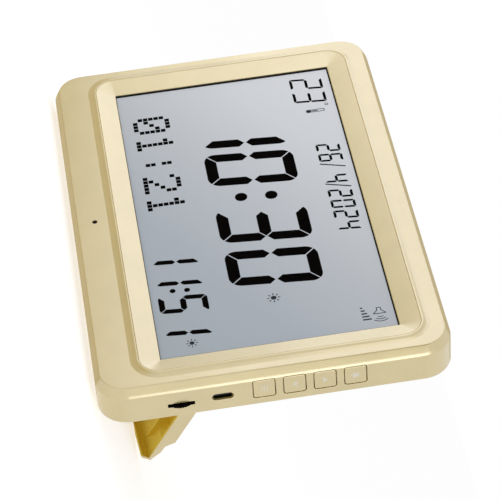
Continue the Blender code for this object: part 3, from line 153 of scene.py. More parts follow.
# Keys, wheel, socket and indicator on the right side and the chin
KEY_NAMES = ("menu", "down", "up", "alarm")
KEY_PITCH = 13.4 * MM
KEY_MIDDLE = 92.316 * MM
KEY_DEPTH = 9.9 * MM
KEY_OPENING = (10.6 * MM, 10.2 * MM)
KEY_OPENING_RADIUS = 1.4 * MM
KEY_FLANGE = 0.9 * MM
KEY_FLANGE_FRONT = 111.7 * MM
KEY_FLANGE_BACK = 110.9 * MM
KEY_STEM_END = 109.8 * MM
KEY_STEM_RADIUS = 1.6 * MM
WHEEL_ACROSS = 107.6 * MM
WHEEL_DEPTH = 12.25 * MM
WHEEL_HEIGHT = 35.816 * MM
WHEEL_RADIUS = 8 * MM
WHEEL_THICKNESS = 1.5 * MM
WHEEL_BORE = 1.68 * MM
WHEEL_GROOVES = 40
WHEEL_GROOVE = 0.3 * MM
WHEEL_SLOT = (2.1 * MM, 11.8 * MM)
SOCKET_HEIGHT = 54.016 * MM
SOCKET_DEPTH = 11.1 * MM
SOCKET_LENGTH = 8.94 * MM
SOCKET_WIDTH = 3.2 * MM
SOCKET_WALL = 0.3 * MM
SOCKET_MOUTH = 113.4 * MM
SOCKET_REACH = 7.3 * MM
SOCKET_CLEARANCE = 0.22 * MM
INDICATOR_HEIGHT = 10.36 * MM
INDICATOR_RADIUS = 1.22 * MM

# Display panel
PANEL_FRONT = 3 * MM
WINDOW_SIDE = 94.9 * MM
WINDOW_LOW = 29.7 * MM
WINDOW_HIGH = 135.7 * MM

# Roundings that the part's source leaves out. A pair is a corner's reach to either side
RIM_EASE = 0.15 * MM
BACK_EDGE_EASE = 0.45 * MM
CHAMFER_EASES = (0.5 * MM, 0.4 * MM)
RING_FOOT_EASE = 0.2 * MM
RING_STEP_EASE = 0.5 * MM
RING_SLOPE_EASES = (0.3 * MM, 0.25 * MM)
RING_CREST_EASES = (0.12 * MM, 0.08 * MM)
BEVEL_START_EASES = (0.08 * MM, 0.12 * MM)
LIP_EASES = (0.4 * MM, 0.3 * MM)
COVER_RIM_EASE = 0.2 * MM
PLATEAU_FOOT_EASE = 0.6 * MM
PLATEAU_EDGE_EASE = 0.9 * MM
KEY_MOUTH_EASE = 0.22 * MM
KEY_EASE = 0.5 * MM
SLOT_RADIUS = 0.25 * MM
SLOT_EASE = 0.15 * MM
WHEEL_EASE = 0.2 * MM
SOCKET_MOUTH_EASE = 0.25 * MM
SOCKET_RIM_EASE = 0.12 * MM
SOCKET_INNER_EASE = 0.1 * MM
PINHOLE_EASE = 0.1 * MM
RECESS_EASE = 0.4 * MM
GRILLE_EASE = 0.3 * MM
SCREW_SEAT_EASE = 0.2 * MM
SCREW_HEAD_EASE = 0.35 * MM
LEG_EASE = 0.25 * MM

# What only the picture needs
CROSS_ARM = (1.3 * MM, 0.24 * MM)
CROSS_DEPTH = 0.55 * MM
CROSS_TURN = 23
INDICATOR_FLANGE = 1.6 * MM
INDICATOR_FLANGE_THICKNESS = 0.8 * MM
INDICATOR_TIP_SHARE = 0.02
MARK_SUNK = 0.05 * MM
MARK_LIFT = 0.03 * MM
INK_SUNK = 0.01 * MM
INK_LIFT = 0.03 * MM
SIGN_LIFT = 0.025 * MM
MASK_LIFT = 0.02 * MM
FACING_SHARE = 0.5

# Steps of the curves, and the angles in degrees over which an edge is crisp
CORNER_STEPS = 14
SQUARE_STEPS = 6
EASE_STEPS = 5
CIRCLE_STEPS = 32
BARREL_STEPS = 64
GROOVE_STEPS = 6
DOT_STEPS = 24
ARC_STEPS = 5
BOW_STEPS = 10
BEVEL_STEPS = 3
SHARP_ANGLE = 32
HOUSING_ANGLE = 28
SMALL_PART_ANGLE = 30
WHEEL_ANGLE = 35

# Finishes: two tones, their scale, the limits of roughness, the grain's scale and strength, and what the
# shader's other sockets hold
PLAIN = {}
DULL = {"Specular IOR Level": 0.0}
LENS = {"Specular IOR Level": 0.05}
HALF_METAL = {"Metallic": 0.5}
METAL = {"Metallic": 1.0}
LACQUER = {"Coat Weight": 1.0, "Coat Roughness": 0.2, "Coat IOR": 2.4}
SATIN = {"Metallic": 0.4, **LACQUER}
TONE_DETAIL = 3
TONE_STOPS = (0.35, 0.65)
GRAIN_DETAIL = 4
GRAIN_HEIGHT = 0.02 * MM
FINISHES = {
    "champagne_satin": (((0.69, 0.55, 0.215), (0.73, 0.585, 0.235)), 60, (0.3, 0.38), 5200, 0.12, SATIN),
    # A more saturated gold for the faces inside the stand's hollow: painted shade and painted gold
    # reflection
    "gold_painted_shade_and_reflection": (((0.84, 0.65, 0.07), (0.9, 0.7, 0.09)), 60, (0.5, 0.6), 5200, 0.12, HALF_METAL),
    "dark_lens": (((0.003, 0.003, 0.003), (0.005, 0.005, 0.005)), 900, (0.1, 0.14), 3000, 0.02, LENS),
    "moulded_white": (((0.78, 0.78, 0.76), (0.84, 0.84, 0.82)), 90, (0.45, 0.55), 3000, 0.1, PLAIN),
    "moulded_black": (((0.016, 0.015, 0.014), (0.03, 0.028, 0.026)), 300, (0.35, 0.5), 4000, 0.2, PLAIN),
    # The wheel's own deep black, also used as painted shade on the walls of the wheel's slot
    "black_and_painted_shade": (((0.004, 0.003, 0.003), (0.009, 0.007, 0.006)), 300, (0.5, 0.65), 4000, 0.2, DULL),
    "board_green": (((0.02, 0.14, 0.06), (0.03, 0.2, 0.09)), 500, (0.3, 0.42), 2500, 0.1, PLAIN),
    "plated_steel": (((0.5, 0.5, 0.51), (0.6, 0.6, 0.61)), 300, (0.22, 0.34), 5000, 0.08, METAL),
    # Steel coloured dark gold-brown for the socket: painted shade inside its mouth, with a painted gold
    # reflection
    "steel_painted_shade": (((0.16, 0.125, 0.05), (0.24, 0.19, 0.08)), 300, (0.3, 0.4), 5000, 0.08, METAL),
    # Black rubber, also used as painted shade on the lip's inner wall round the display
    "soft_rubber_and_painted_shade": (((0.03, 0.028, 0.024), (0.05, 0.046, 0.04)), 400, (0.7, 0.85), 3500, 0.4, PLAIN),
    "foil_wrap": (((0.3, 0.35, 0.4), (0.36, 0.41, 0.46)), 100, (0.3, 0.42), 800, 0.3, HALF_METAL),
    "paper": (((0.04, 0.04, 0.04), (0.08, 0.08, 0.075)), 600, (0.85, 0.95), 1800, 0.5, PLAIN),
    "pale_mark": (((0.93, 0.85, 0.64), (0.96, 0.88, 0.68)), 300, (0.5, 0.6), 3000, 0.1, LACQUER),
    "display_ink": (((0.004, 0.003, 0.003), (0.006, 0.005, 0.004)), 300, (0.5, 0.6), 3000, 0.02, DULL),
    "display_faint_ink": (((0.05, 0.055, 0.06), (0.06, 0.065, 0.07)), 300, (0.5, 0.6), 3000, 0.02, DULL),
    "mask_black_and_painted_shadow": (((0.01, 0.009, 0.006), (0.02, 0.017, 0.01)), 300, (0.5, 0.6), 3000, 0.02, DULL),
}
SLOT_FINISHES = {
    "champagne_plastic": "champagne_satin",
    "clear_plastic": "dark_lens",
    "white_plastic": "moulded_white",
    "black_plastic": "moulded_black",
    "board_laminate": "board_green",
    "steel": "plated_steel",
    "black_rubber": "soft_rubber_and_painted_shade",
    "battery_wrap": "foil_wrap",
    "paper_cone": "paper",
}

# The display's tones grow paler towards its upper left corner: a painted reflection
# The display's ground: its grain, its slanting span, the ramp's own two ends, and the tones along it
GROUND_GRAIN = ((0.4, 0.46), 6000, 0.05, {"Specular IOR Level": 0.7})
PAINTED_GLARE_TURN = math.radians(31)
PAINTED_GLARE_SPAN = (-40 * MM, 165 * MM)
GROUND_ENDS = {0.0: 0, 1.0: -1}
GROUND_AND_PAINTED_GLARE_TONES = (
    (0.0, (0.54, 0.625, 0.68)),
    (0.34, (0.575, 0.64, 0.7)),
    (0.56, (0.72, 0.755, 0.78)),
    (0.78, (0.89, 0.92, 0.92)),
    (1.0, (0.98, 0.985, 0.985)),
)

# Marks on the keys, in millimetres about the key's middle
MARK_BAR = (1.9, 0.22)
MARK_BAR_HEIGHTS = (-1.2, 0, 1.2)
MARK_TRIANGLE = ((-1.7, -0.9), (1.7, -0.9), (0, 1.3))
BELL_SKIRT = ((-1.9, -1.2), (1.9, -1.2), (1.3, -0.5))
BELL_END = (-1.3, -0.5)
BELL_DOME = (1.15, 1.1)
BELL_DOME_HEIGHT = 0.6
BELL_STEPS = 8
CLAPPER_HEIGHT = -1.75
CLAPPER_RADIUS = 0.4
CLAPPER_STEPS = 12

# Digits: signs, places across, the height of their middle, and then a digit's width, height, stroke,
# corner radius and gap between segments. From here to the camera, the display is in millimetres
SLANT = 0.1
DIGIT_ROWS = {
    "hour_digits": ("1030", (-54.9, -26.5, 14.6, 44.4), 87.4, (23.4, 42.4, 5.5, 5.6, 0.55)),
    "second_digits": ("1151", (27.9, 42.4, 60.8, 75.3), 44.1, (11.3, 22.1, 2.7, 2.4, 0.35)),
    "date_digits": (
        "2642024",
        (-33.4, -25.9, -10.2, 0.9, 8.5, 16.1, 23.9),
        125.8,
        (5.7, 11.5, 1.25, 1.3, 0.22),
    ),
    "warmth_digits": ("23", (-84.5, -73.9), 123.5, (8.3, 16.0, 1.35, 1.4, 0.25)),
}
COLONS = {
    "hour_digits": ((-4.9, 93.9, 2.95), (-6.4, 79.8, 2.95)),
    "second_digits": ((52.0, 46.8, 1.35), (51.4, 40.3, 1.35)),
}
SEGMENTS = dict(zip("0123456", ("abcdef", "bc", "abged", "abgcd", "fgbc", "afgcd", "afgcde")))
MATRIX_TEXT = "01:21"
MATRIX_CORNER = (-75.2, 35.6)
MATRIX_PITCH = (2.5, 2.58)
MATRIX_DOT = 2.2
MATRIX_COLUMNS = 6
DOTS = {
    "0": ("01110", "10001", "10011", "10101", "11001", "10001", "01110"),
    "1": ("00100", "01100", "00100", "00100", "00100", "00100", "01110"),
    "2": ("01110", "10001", "00001", "00010", "00100", "01000", "11111"),
    ":": ("00000", "00100", "00100", "00000", "00100", "00100", "00000"),
}

# Signs. A bow or dot has its middle and its radius
SIGN_STROKE = 0.4
DATE_STROKES = (((-22.0, 120.0), (-18.2, 131.7)), ((-7.0, 120.0), (-3.2, 131.7)))
DATE_STROKE_WIDTH = 0.75
DEGREE_RING = (-66.7, 130.7, 0.75)
DEGREE_STROKE = 0.35
DEGREE_BOW = 178
SUNS = ((65.3, 84.2, 3.0), (86.6, 44.6, 2.6))
SUN_RAYS = 8
SUN_CORE_SHARE = 0.42
SUN_RAY_SHARE = 0.62
SUN_STROKE_SHARE = 0.16
THERMOMETER_PLACE = (-62.8, 124.6)
BULB_HEIGHT = -3.4
BULB_RADIUS = 1.25
TUBE_HALF = 0.85
TUBE_TOP = 3.6
TUBE_SPAN = (-2.6, 3.57)
FILLING_SPAN = (-3.0, 1.2)
FILLING_WIDTH = 0.6
SPEAKER_PLACE = (84.5, 126.0)
SPEAKER_HEIGHT = 2.6
SPEAKER_CORNERS = ((-3.2, 0.9), (-1.6, 0.9), (0.6, 2.9), (0.6, -2.9), (-1.6, -0.9), (-3.2, -0.9))
WAVE_ACROSS = 1.0
WAVE_RADII = (1.8, 3.2, 4.6)
WAVE_REACH = 42
LEVEL_BARS = 5
LEVEL_BAR_WIDTH = 0.8
LEVEL_BAR_PITCH = 1.9
LEVEL_BAR_RISE = 0.75
LEVEL_BAR_START = -4.2
LEVEL_BAR_SPAN = (-5.4, -4.4)
# The display's black border; on the left and top it is widened by a painted shadow of the lip
MASK_OVERLAP = 2.0
MASK_LEFT_AND_PAINTED_SHADOW = 0.9
MASK_TOP_AND_PAINTED_SHADOW = 0.6
MASK_THIN = 0.2

# Camera, in the clock's axes, with its place in millimetres
CAMERA_RIGHT = Vector((0.14502, 0.06162, 0.98751))
CAMERA_DOWN = Vector((0.65244, 0.74437, -0.14226))
CAMERA_FORWARD = Vector((-0.74384, 0.66492, 0.06775))
CAMERA_PLACE = Vector((841.83, -721.44, 4.67))
CAMERA_SENSOR = 36
CAMERA_LENS = 171.695
CAMERA_NEAR = 0.01

# Studio
WORLD_LEVEL = 0.47
FLOOR_HALF = 8
FLOOR_CELLS = 8
FLOOR_SHADER = {"Base Color": (0.82, 0.82, 0.82, 1), "Roughness": 0.9, "Specular IOR Level": 0}
FLOOR_GLOW = 0.6
CARD_SHADER = {"Base Color": (0, 0, 0, 1), "Specular IOR Level": 0, "Emission Color": (1, 0.87, 0.6, 1)}
WHITE = (1, 1, 1)

# Lamps: direction from the clock's middle in its axes, distance, size, power and colour
LAMPS = {
    "softbox_left": ((-0.744, -0.665, 0.42), 0.42, (0.35, 0.3), 0.19, (0.92, 0.98, 1.3)),
    "softbox_low": ((-0.744, -0.665, 0), 0.42, (0.35, 0.1), 0.045, WHITE),
    "softbox_front": ((-0.23, -0.96, 0.25), 0.42, (0.25, 0.12), 0.07, WHITE),
    "softbox_end": ((-0.98, -0.15, 0.25), 0.5, (0.25, 0.15), 0.04, WHITE),
    "strip_right": ((0.95, 0.1, 0.05), 1, (0.35, 0.8), 1.9, WHITE),
}

# Cards: middle in the frame, the direction that they face, size and strength
CARDS = {
    "card_low": ((-0.3, -0.28, 0.001), (0, 0, 1), (0.8, 0.5), 0.72),
    "card_left": ((-0.33, -0.3, 0.025), (0.744, 0.665, 0), (0.8, 0.05), 0.65),
    "card_high": ((-0.45, 0.31, 0.45), (0.744, -0.434, -0.507), (0.7, 0.5), 0.58),
    "card_front": ((0.61, -0.294, 0.36), (-0.827, 0.49, -0.25), (0.4, 0.3), 0.2),
}


def clock_place(joints):
    """The leaning clock's own axes in the frame, from the volume wheel's joint."""
    joint = next(one for one in joints if one["name"] == "volume_turn")
    axis = Vector(joint["axis"])
    turn = Matrix.Rotation(math.atan2(axis.z, axis.y), 4, "X")
    wheel = Vector((WHEEL_ACROSS, WHEEL_DEPTH, WHEEL_HEIGHT))
    return Matrix.Translation(Vector(joint["pos_m"]) - turn @ wheel) @ turn


def add(name, data):
    obj = bpy.data.objects.new(name, data)
    bpy.context.scene.collection.objects.link(obj)
    return obj


def solid(bm, name, place):
    """An object at the origin whose mesh is carried to its place in the frame."""
    bmesh.ops.transform(bm, matrix=place, verts=bm.verts)
    bmesh.ops.recalc_face_normals(bm, faces=bm.faces)
    mesh = bpy.data.meshes.new(name)
    bm.to_mesh(mesh)
    bm.free()
    return add(name, mesh)


def settle(obj):
    """Applies the modifiers to the mesh."""
    graph = bpy.context.evaluated_depsgraph_get()
    mesh = bpy.data.meshes.new_from_object(obj.evaluated_get(graph), depsgraph=graph)
    mesh.name = obj.name
    obj.modifiers.clear()
    obj.data = mesh


def combine(obj, bm, place, operation="DIFFERENCE"):
    """Cuts another solid out of an object, or joins it on."""
    other = solid(bm, "tool", place)
    modifier = obj.modifiers.new("combine", "BOOLEAN")
    modifier.operation = operation
    modifier.solver = "EXACT"
    modifier.use_self = True
    modifier.object = other
    settle(obj)
    bpy.data.objects.remove(other, do_unlink=True)


def mend(obj):
    """Joins the points that cuts have left all but touching."""
    bm = bmesh.new()
    bm.from_mesh(obj.data)
    bmesh.ops.remove_doubles(bm, verts=bm.verts, dist=MERGE)
    bmesh.ops.dissolve_degenerate(bm, edges=bm.edges, dist=MERGE)
    loose = [edge for edge in bm.edges if not edge.link_faces]
    bmesh.ops.delete(bm, geom=loose, context="EDGES")
    bm.to_mesh(obj.data)
    bm.free()


def soften(obj, ease, angle, wanted):
    """A small rounding of the sharp edges that stand out, where the edge's middle is wanted."""
    mend(obj)
    bm = bmesh.new()
    bm.from_mesh(obj.data)
    weight = bm.edges.layers.float.new("bevel_weight_edge")
    for edge in bm.edges:
        sharp = edge.is_convex and edge.calc_face_angle(0) > math.radians(angle)
        edge[weight] = sharp and wanted((edge.verts[0].co + edge.verts[1].co) / 2)
    bm.to_mesh(obj.data)
    bm.free()
    bevel = obj.modifiers.new("rounding", "BEVEL")
    bevel.width = ease
    bevel.segments = BEVEL_STEPS
    bevel.limit_method = "WEIGHT"
    bevel.use_clamp_overlap = False
    settle(obj)


def shade(obj, look, angle):
    """Smooth shading with crisp corners."""
    mend(obj)
    obj.data.materials.clear()
    obj.data.materials.append(look)
    obj.data.shade_smooth()
    obj.data.set_sharp_from_angle(angle=math.radians(angle))
    weigh = obj.modifiers.new("weigh", "WEIGHTED_NORMAL")
    weigh.keep_sharp = True
    settle(obj)


def piece(obj, look, body, slot, *nodes, angle=SHARP_ANGLE):
    """Shades an object, names its body and hides the nodes that it replaces. The slot is not used."""
    shade(obj, look, angle)
    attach(obj, body)
    if nodes:
        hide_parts(*nodes)


def arc(x, z, radius, start, end, steps=ARC_STEPS):
    points = []
    for step in range(steps + 1):
        angle = math.radians(start + (end - start) * step / steps)
        points.append((x + radius * math.cos(angle), z + radius * math.sin(angle)))
    return points


def rounded_loop(side, low, high, radius, depth):
    """The points of a rounded rectangle in the plane at a depth, set in from the body's side."""
    half = HALF_WIDTH - side
    radius = max(radius, GAP)
    corners = (
        (half - radius, low + radius, -90),
        (half - radius, high - radius, 0),
        (radius - half, high - radius, 90),
        (radius - half, low + radius, 180),
    )
    points = []
    for x, z, start in corners:
        points += arc(x, z, radius, start, start + 90, CORNER_STEPS)
    return [Vector((x, depth, z)) for x, z in points]


def body_loop(inset, depth):
    return rounded_loop(inset, inset, BODY_HEIGHT - inset, BODY_CORNER_RADIUS - inset, depth)


def ring_loop(offset, depth):
    side = RING_SIDE + offset
    return rounded_loop(side, RING_LOW + offset, RING_HIGH - offset, RING_BASE_RADIUS - offset, depth)


def plateau_loop(inset, depth):
    high = BODY_HEIGHT - PLATEAU_TOP - inset
    return rounded_loop(PLATEAU_SIDE + inset, PLATEAU_LOW + inset, high, PLATEAU_RADIUS - inset, depth)


def eased(corners):
    """A section with rounded corners. Each corner has its place and its reach, or one to either side."""
    points = []
    count = len(corners)
    for index, (across, depth, *reach) in enumerate(corners):
        corner = Vector((across, depth))
        if not reach:
            points.append(corner)
            continue
        last = Vector(corners[index - 1][:2])
        following = Vector(corners[(index + 1) % count][:2])
        start = corner + reach[0] * (last - corner).normalized()
        end = corner + reach[-1] * (following - corner).normalized()
        for step in range(EASE_STEPS + 1):
            t = step / EASE_STEPS
            points.append((1 - t) ** 2 * start + 2 * t * (1 - t) * corner + t * t * end)
    return points


def loft(loops, closed):
    """A skin through loops of equal count. It closes on itself, or is capped at both ends."""
    bm = bmesh.new()
    rows = [[bm.verts.new(point) for point in loop] for loop in loops]
    pairs = list(zip(rows, rows[1:]))
    if closed:
        pairs.append((rows[-1], rows[0]))
    else:
        bm.faces.new(rows[0])
        bm.faces.new(rows[-1])
    for first, second in pairs:
        for step in range(len(first)):
            after = (step + 1) % len(first)
            bm.faces.new((first[step], first[after], second[after], second[step]))
    return bm


def rounded_square(width, height, radius):
    radius = min(radius, min(width, height) / 2 - TOUCH)
    across = width / 2 - radius
    up = height / 2 - radius
    points = []
    for x, z, start in ((across, -up, -90), (across, up, 0), (-across, up, 90), (-across, -up, 180)):
        points += arc(x, z, radius, start, start + 90, SQUARE_STEPS)
    return points


def circle(radius, steps=CIRCLE_STEPS):
    turn = 2 * math.pi / steps
    return [(radius * math.cos(i * turn), radius * math.sin(i * turn)) for i in range(steps)]


def stack(levels, closed=False):
    """A skin through flat outlines, each at its own height along the third axis."""
    return loft([[Vector((*point, height)) for point in outline] for outline, height in levels], closed)


def quarter():
    """The sines and cosines of a quarter turn's steps."""
    angles = [math.pi / 2 * step / EASE_STEPS for step in range(EASE_STEPS + 1)]
    return [(math.sin(angle), math.cos(angle)) for angle in angles]


def mouth(outline_at, bottom, surface, ease):
    """A cutter for an opening with a rounded rim. outline_at gives the outline grown by a length."""
    levels = [(outline_at(0), bottom)]
    for sine, cosine in quarter():
        height = surface + TOUCH - ease * (1 - sine)
        levels.append((outline_at(ease * (1 - cosine)), height))
    levels.append((outline_at(ease), surface + OVERRUN))
    return stack(levels)


def raised(outline_at, bottom, top, ease):
    """A solid whose upper edge is rounded. outline_at gives the outline grown by a length."""
    levels = [(outline_at(0), bottom)]
    for sine, cosine in quarter():
        levels.append((outline_at(ease * (cosine - 1)), top - ease * (1 - sine)))
    return stack(levels)


def square_at(width, height, radius):
    return lambda grow: rounded_square(width + 2 * grow, height + 2 * grow, max(radius + grow, GAP / 2))


def round_at(radius):
    return lambda grow: circle(radius + grow)


def to_right(depth, height):
    """Carries flat outlines to the right side: the outline's axes become depth and height."""
    return Matrix(((0, 0, 1, 0), (1, 0, 0, depth), (0, 1, 0, height), (0, 0, 0, 1)))


def to_back(across, height):
    """Carries flat outlines to the back: the outline's axes become across and height."""
    return Matrix(((-1, 0, 0, across), (0, 0, 1, 0), (0, 1, 0, height), (0, 0, 0, 1)))


def to_front(across, height):
    """Carries flat outlines to the front, where heights are measured out of the face."""
    return Matrix(((1, 0, 0, across), (0, 0, -1, 0), (0, 1, 0, height), (0, 0, 0, 1)))


def level_at(clock, point):
    """Carries a solid to a point of the leaning clock, level with the floor."""
    return clock @ Matrix.Translation(point) @ Matrix.Rotation(-clock.to_euler().x, 4, "X")


def box(low, high):
    bm = bmesh.new()
    low = Vector(low)
    high = Vector(high)
    place = Matrix.Translation((low + high) / 2) @ Matrix.Diagonal((*(high - low), 1))
    bmesh.ops.create_cube(bm, size=1, matrix=place)
    return bm


def rod(start, end, radius, steps=CIRCLE_STEPS):
    bm = bmesh.new()
    start = Vector(start)
    end = Vector(end)
    turn = Vector((0, 0, 1)).rotation_difference(end - start).to_matrix().to_4x4()
    middle = Matrix.Translation((start + end) / 2) @ turn
    length = (end - start).length
    bmesh.ops.create_cone(
        bm, cap_ends=True, segments=steps, radius1=radius, radius2=radius, depth=length, matrix=middle
    )
    return bm


def gather(meshes):
    """One mesh from several."""
    bm = bmesh.new()
    for other in meshes:
        held = bpy.data.meshes.new("held")
        other.to_mesh(held)
        other.free()
        bm.from_mesh(held)
        bpy.data.meshes.remove(held)
    return bm


def placed(bm, matrix):
    bmesh.ops.transform(bm, matrix=matrix, verts=bm.verts)
    return bm


def key_heights():
    middle = (len(KEY_NAMES) - 1) / 2
    return [KEY_MIDDLE + (index - middle) * KEY_PITCH for index in range(len(KEY_NAMES))]


def screw_places():
    corners = [(x, z) for z in (SCREW_LOW, SCREW_HIGH) for x in (-SCREW_SIDE, SCREW_SIDE)]
    return corners + [(x, SCREW_LOW) for x in (-SCREW_INNER, SCREW_INNER)]


# Finishes


def node(tree, kind, inputs):
    """A new node, whose inputs are linked to other nodes' outputs or hold a value."""
    made = tree.nodes.new("ShaderNode" + kind)
    for key, value in inputs.items():
        if isinstance(value, bpy.types.NodeSocket):
            tree.links.new(value, made.inputs[key])
        else:
            made.inputs[key].default_value = value
    return made


def noise(tree, place, scale, detail):
    return node(tree, "TexNoise", {"Vector": place, "Scale": scale, "Detail": detail}).outputs["Fac"]


def material(name, sockets):
    """A new material, with values on its shader's sockets."""
    made = bpy.data.materials.new(name)
    made.use_nodes = True
    shader = made.node_tree.nodes["Principled BSDF"]
    for socket, value in sockets.items():
        shader.inputs[socket].default_value = value
    return made


def grained(name, roughness, scale, strength, sockets):
    """A material whose roughness and fine grain come from noise in the piece's space."""
    made = material(name, sockets)
    tree = made.node_tree
    shader = tree.nodes["Principled BSDF"]
    place = tree.nodes.new("ShaderNodeTexCoord").outputs["Object"]
    fine = noise(tree, place, scale, GRAIN_DETAIL)
    spread = node(tree, "MapRange", {"Value": fine, "To Min": roughness[0], "To Max": roughness[1]})
    tree.links.new(spread.outputs["Result"], shader.inputs["Roughness"])
    bump = node(tree, "Bump", {"Height": fine, "Strength": strength, "Distance": GRAIN_HEIGHT})
    tree.links.new(bump.outputs["Normal"], shader.inputs["Normal"])
    return made, place


def finish(name):
    """A moulded finish: a grain, and two tones from noise."""
    tones, tone_scale, *grain = FINISHES[name]
    made, place = grained(name, *grain)
    tree = made.node_tree
    ramp = node(tree, "ValToRGB", {"Fac": noise(tree, place, tone_scale, TONE_DETAIL)})
    for element, position, tone in zip(ramp.color_ramp.elements, TONE_STOPS, tones):
        element.position = position
        element.color = (*tone, 1)
    tree.links.new(ramp.outputs["Color"], tree.nodes["Principled BSDF"].inputs["Base Color"])
    return made


def display_look():
    """The display's grey-blue ground, with a painted reflection that makes it paler towards its upper left
    corner.
    """
    made, place = grained("display_ground_and_painted_glare", *GROUND_GRAIN)
    tree = made.node_tree
    turn = node(tree, "Mapping", {"Vector": place, "Rotation": (0, PAINTED_GLARE_TURN, 0)})
    split = node(tree, "SeparateXYZ", {"Vector": turn.outputs["Vector"]})
    low, high = PAINTED_GLARE_SPAN
    span = node(tree, "MapRange", {"Value": split.outputs["Z"], "From Min": low, "From Max": high})
    ramp = node(tree, "ValToRGB", {"Fac": span.outputs["Result"]})
    elements = ramp.color_ramp.elements
    for position, tone in GROUND_AND_PAINTED_GLARE_TONES:
        element = elements[GROUND_ENDS[position]] if position in GROUND_ENDS else elements.new(position)
        element.color = (*tone, 1)
    tree.links.new(ramp.outputs["Color"], tree.nodes["Principled BSDF"].inputs["Base Color"])
    return made


# Housing


def section_loop(across, depth):
    """A loop of the front shell's section: near the edge it follows the body, and further in the ring."""
    if across < RING_SIDE - 4 * GAP:
        return body_loop(across, depth)
    return ring_loop(across - RING_SIDE, depth)


def shell_section():
    share = CHAMFER_INSET * CHAMFER_SHARE
    meet = CHAMFER_DEPTH + share * CHAMFER_DEPTH / (CHAMFER_INSET - share)
    along = math.hypot(share, meet - CHAMFER_DEPTH)
    ring = RING_SIDE
    return eased(
        [
            (RIM_WALL, BODY_DEPTH, RIM_EASE),
            (0, BODY_DEPTH, BACK_EDGE_EASE),
            (0, meet, EDGE_DEPTH - meet, along),
            (CHAMFER_INSET, 0, *CHAMFER_EASES),
            (ring, 0, RING_FOOT_EASE),
            (ring + RING_STEP[0], RING_STEP[1], RING_STEP_EASE),
            (ring + RING_SLOPE, RING_RISE, *RING_SLOPE_EASES),
            (ring + RING_CREST, RING_RISE, *RING_CREST_EASES),
            (ring + RING_CREST + SEAM_WIDTH / 2, RING_RISE + SEAM_DEPTH),
            (ring + RING_CREST + SEAM_WIDTH, RING_RISE + SEAM_WIDTH / 3, *BEVEL_START_EASES),
            (ring + RING_TO_LIP, LIP_DEPTH, *LIP_EASES),
            (ring + RING_TO_LIP, STACK_FRONT),
            (ring + SEAT_START, STACK_FRONT),
            (ring + SEAT_START - SEAT_BLEND, WALL),
            (CHAMFER_INSET + WALL, WALL),
            (WALL, EDGE_DEPTH),
            (WALL, LEDGE),
            (RIM_WALL, LEDGE),
        ]
    )


def front_shell(clock, look):
    loops = [section_loop(point.x, point.y) for point in shell_section()]
    shell = solid(loft(loops, True), "moulded_front", clock)
    inner = HALF_WIDTH - WALL - OVERRUN
    holes = []
    for height in key_heights():
        opening = mouth(square_at(*KEY_OPENING, KEY_OPENING_RADIUS), inner, HALF_WIDTH, KEY_MOUTH_EASE)
        holes.append(placed(opening, to_right(KEY_DEPTH, height)))
    slot = mouth(square_at(*WHEEL_SLOT, SLOT_RADIUS), inner, HALF_WIDTH, SLOT_EASE)
    holes.append(placed(slot, to_right(WHEEL_DEPTH, WHEEL_HEIGHT)))
    length = SOCKET_LENGTH + 2 * SOCKET_CLEARANCE
    width = SOCKET_WIDTH + 2 * SOCKET_CLEARANCE
    opening = mouth(square_at(width, length, width / 2), inner, HALF_WIDTH, SOCKET_MOUTH_EASE)
    holes.append(placed(opening, to_right(SOCKET_DEPTH, SOCKET_HEIGHT)))
    pinhole = mouth(round_at(INDICATOR_RADIUS), -WALL - OVERRUN, 0, PINHOLE_EASE)
    holes.append(placed(pinhole, to_front(0, INDICATOR_HEIGHT)))
    combine(shell, gather(holes), clock)
    wedge = box((-BODY_WIDTH, -OVERRUN, -BODY_DEPTH), (BODY_WIDTH, BODY_DEPTH, 0))
    combine(shell, wedge, level_at(clock, REST_POINT))
    piece(shell, look, "clock_body", "champagne_plastic", "front_shell", angle=HOUSING_ANGLE)


def sill_height():
    """The foot of the recess, a gap below the open stand's underside."""
    along = Vector((math.cos(STAND_ANGLE), -math.sin(STAND_ANGLE)))
    up = Vector((math.sin(STAND_ANGLE), math.cos(STAND_ANGLE)))
    reach = (PLATEAU_BACK - PIVOT.y - STAND_UNDER * up.x) / along.x
    return PIVOT.z + reach * along.y + STAND_UNDER * up.y - GAP


def cover_loop(across, depth):
    if across < PLATEAU_SIDE / 2:
        return body_loop(across, depth)
    return plateau_loop(across - PLATEAU_SIDE, depth)


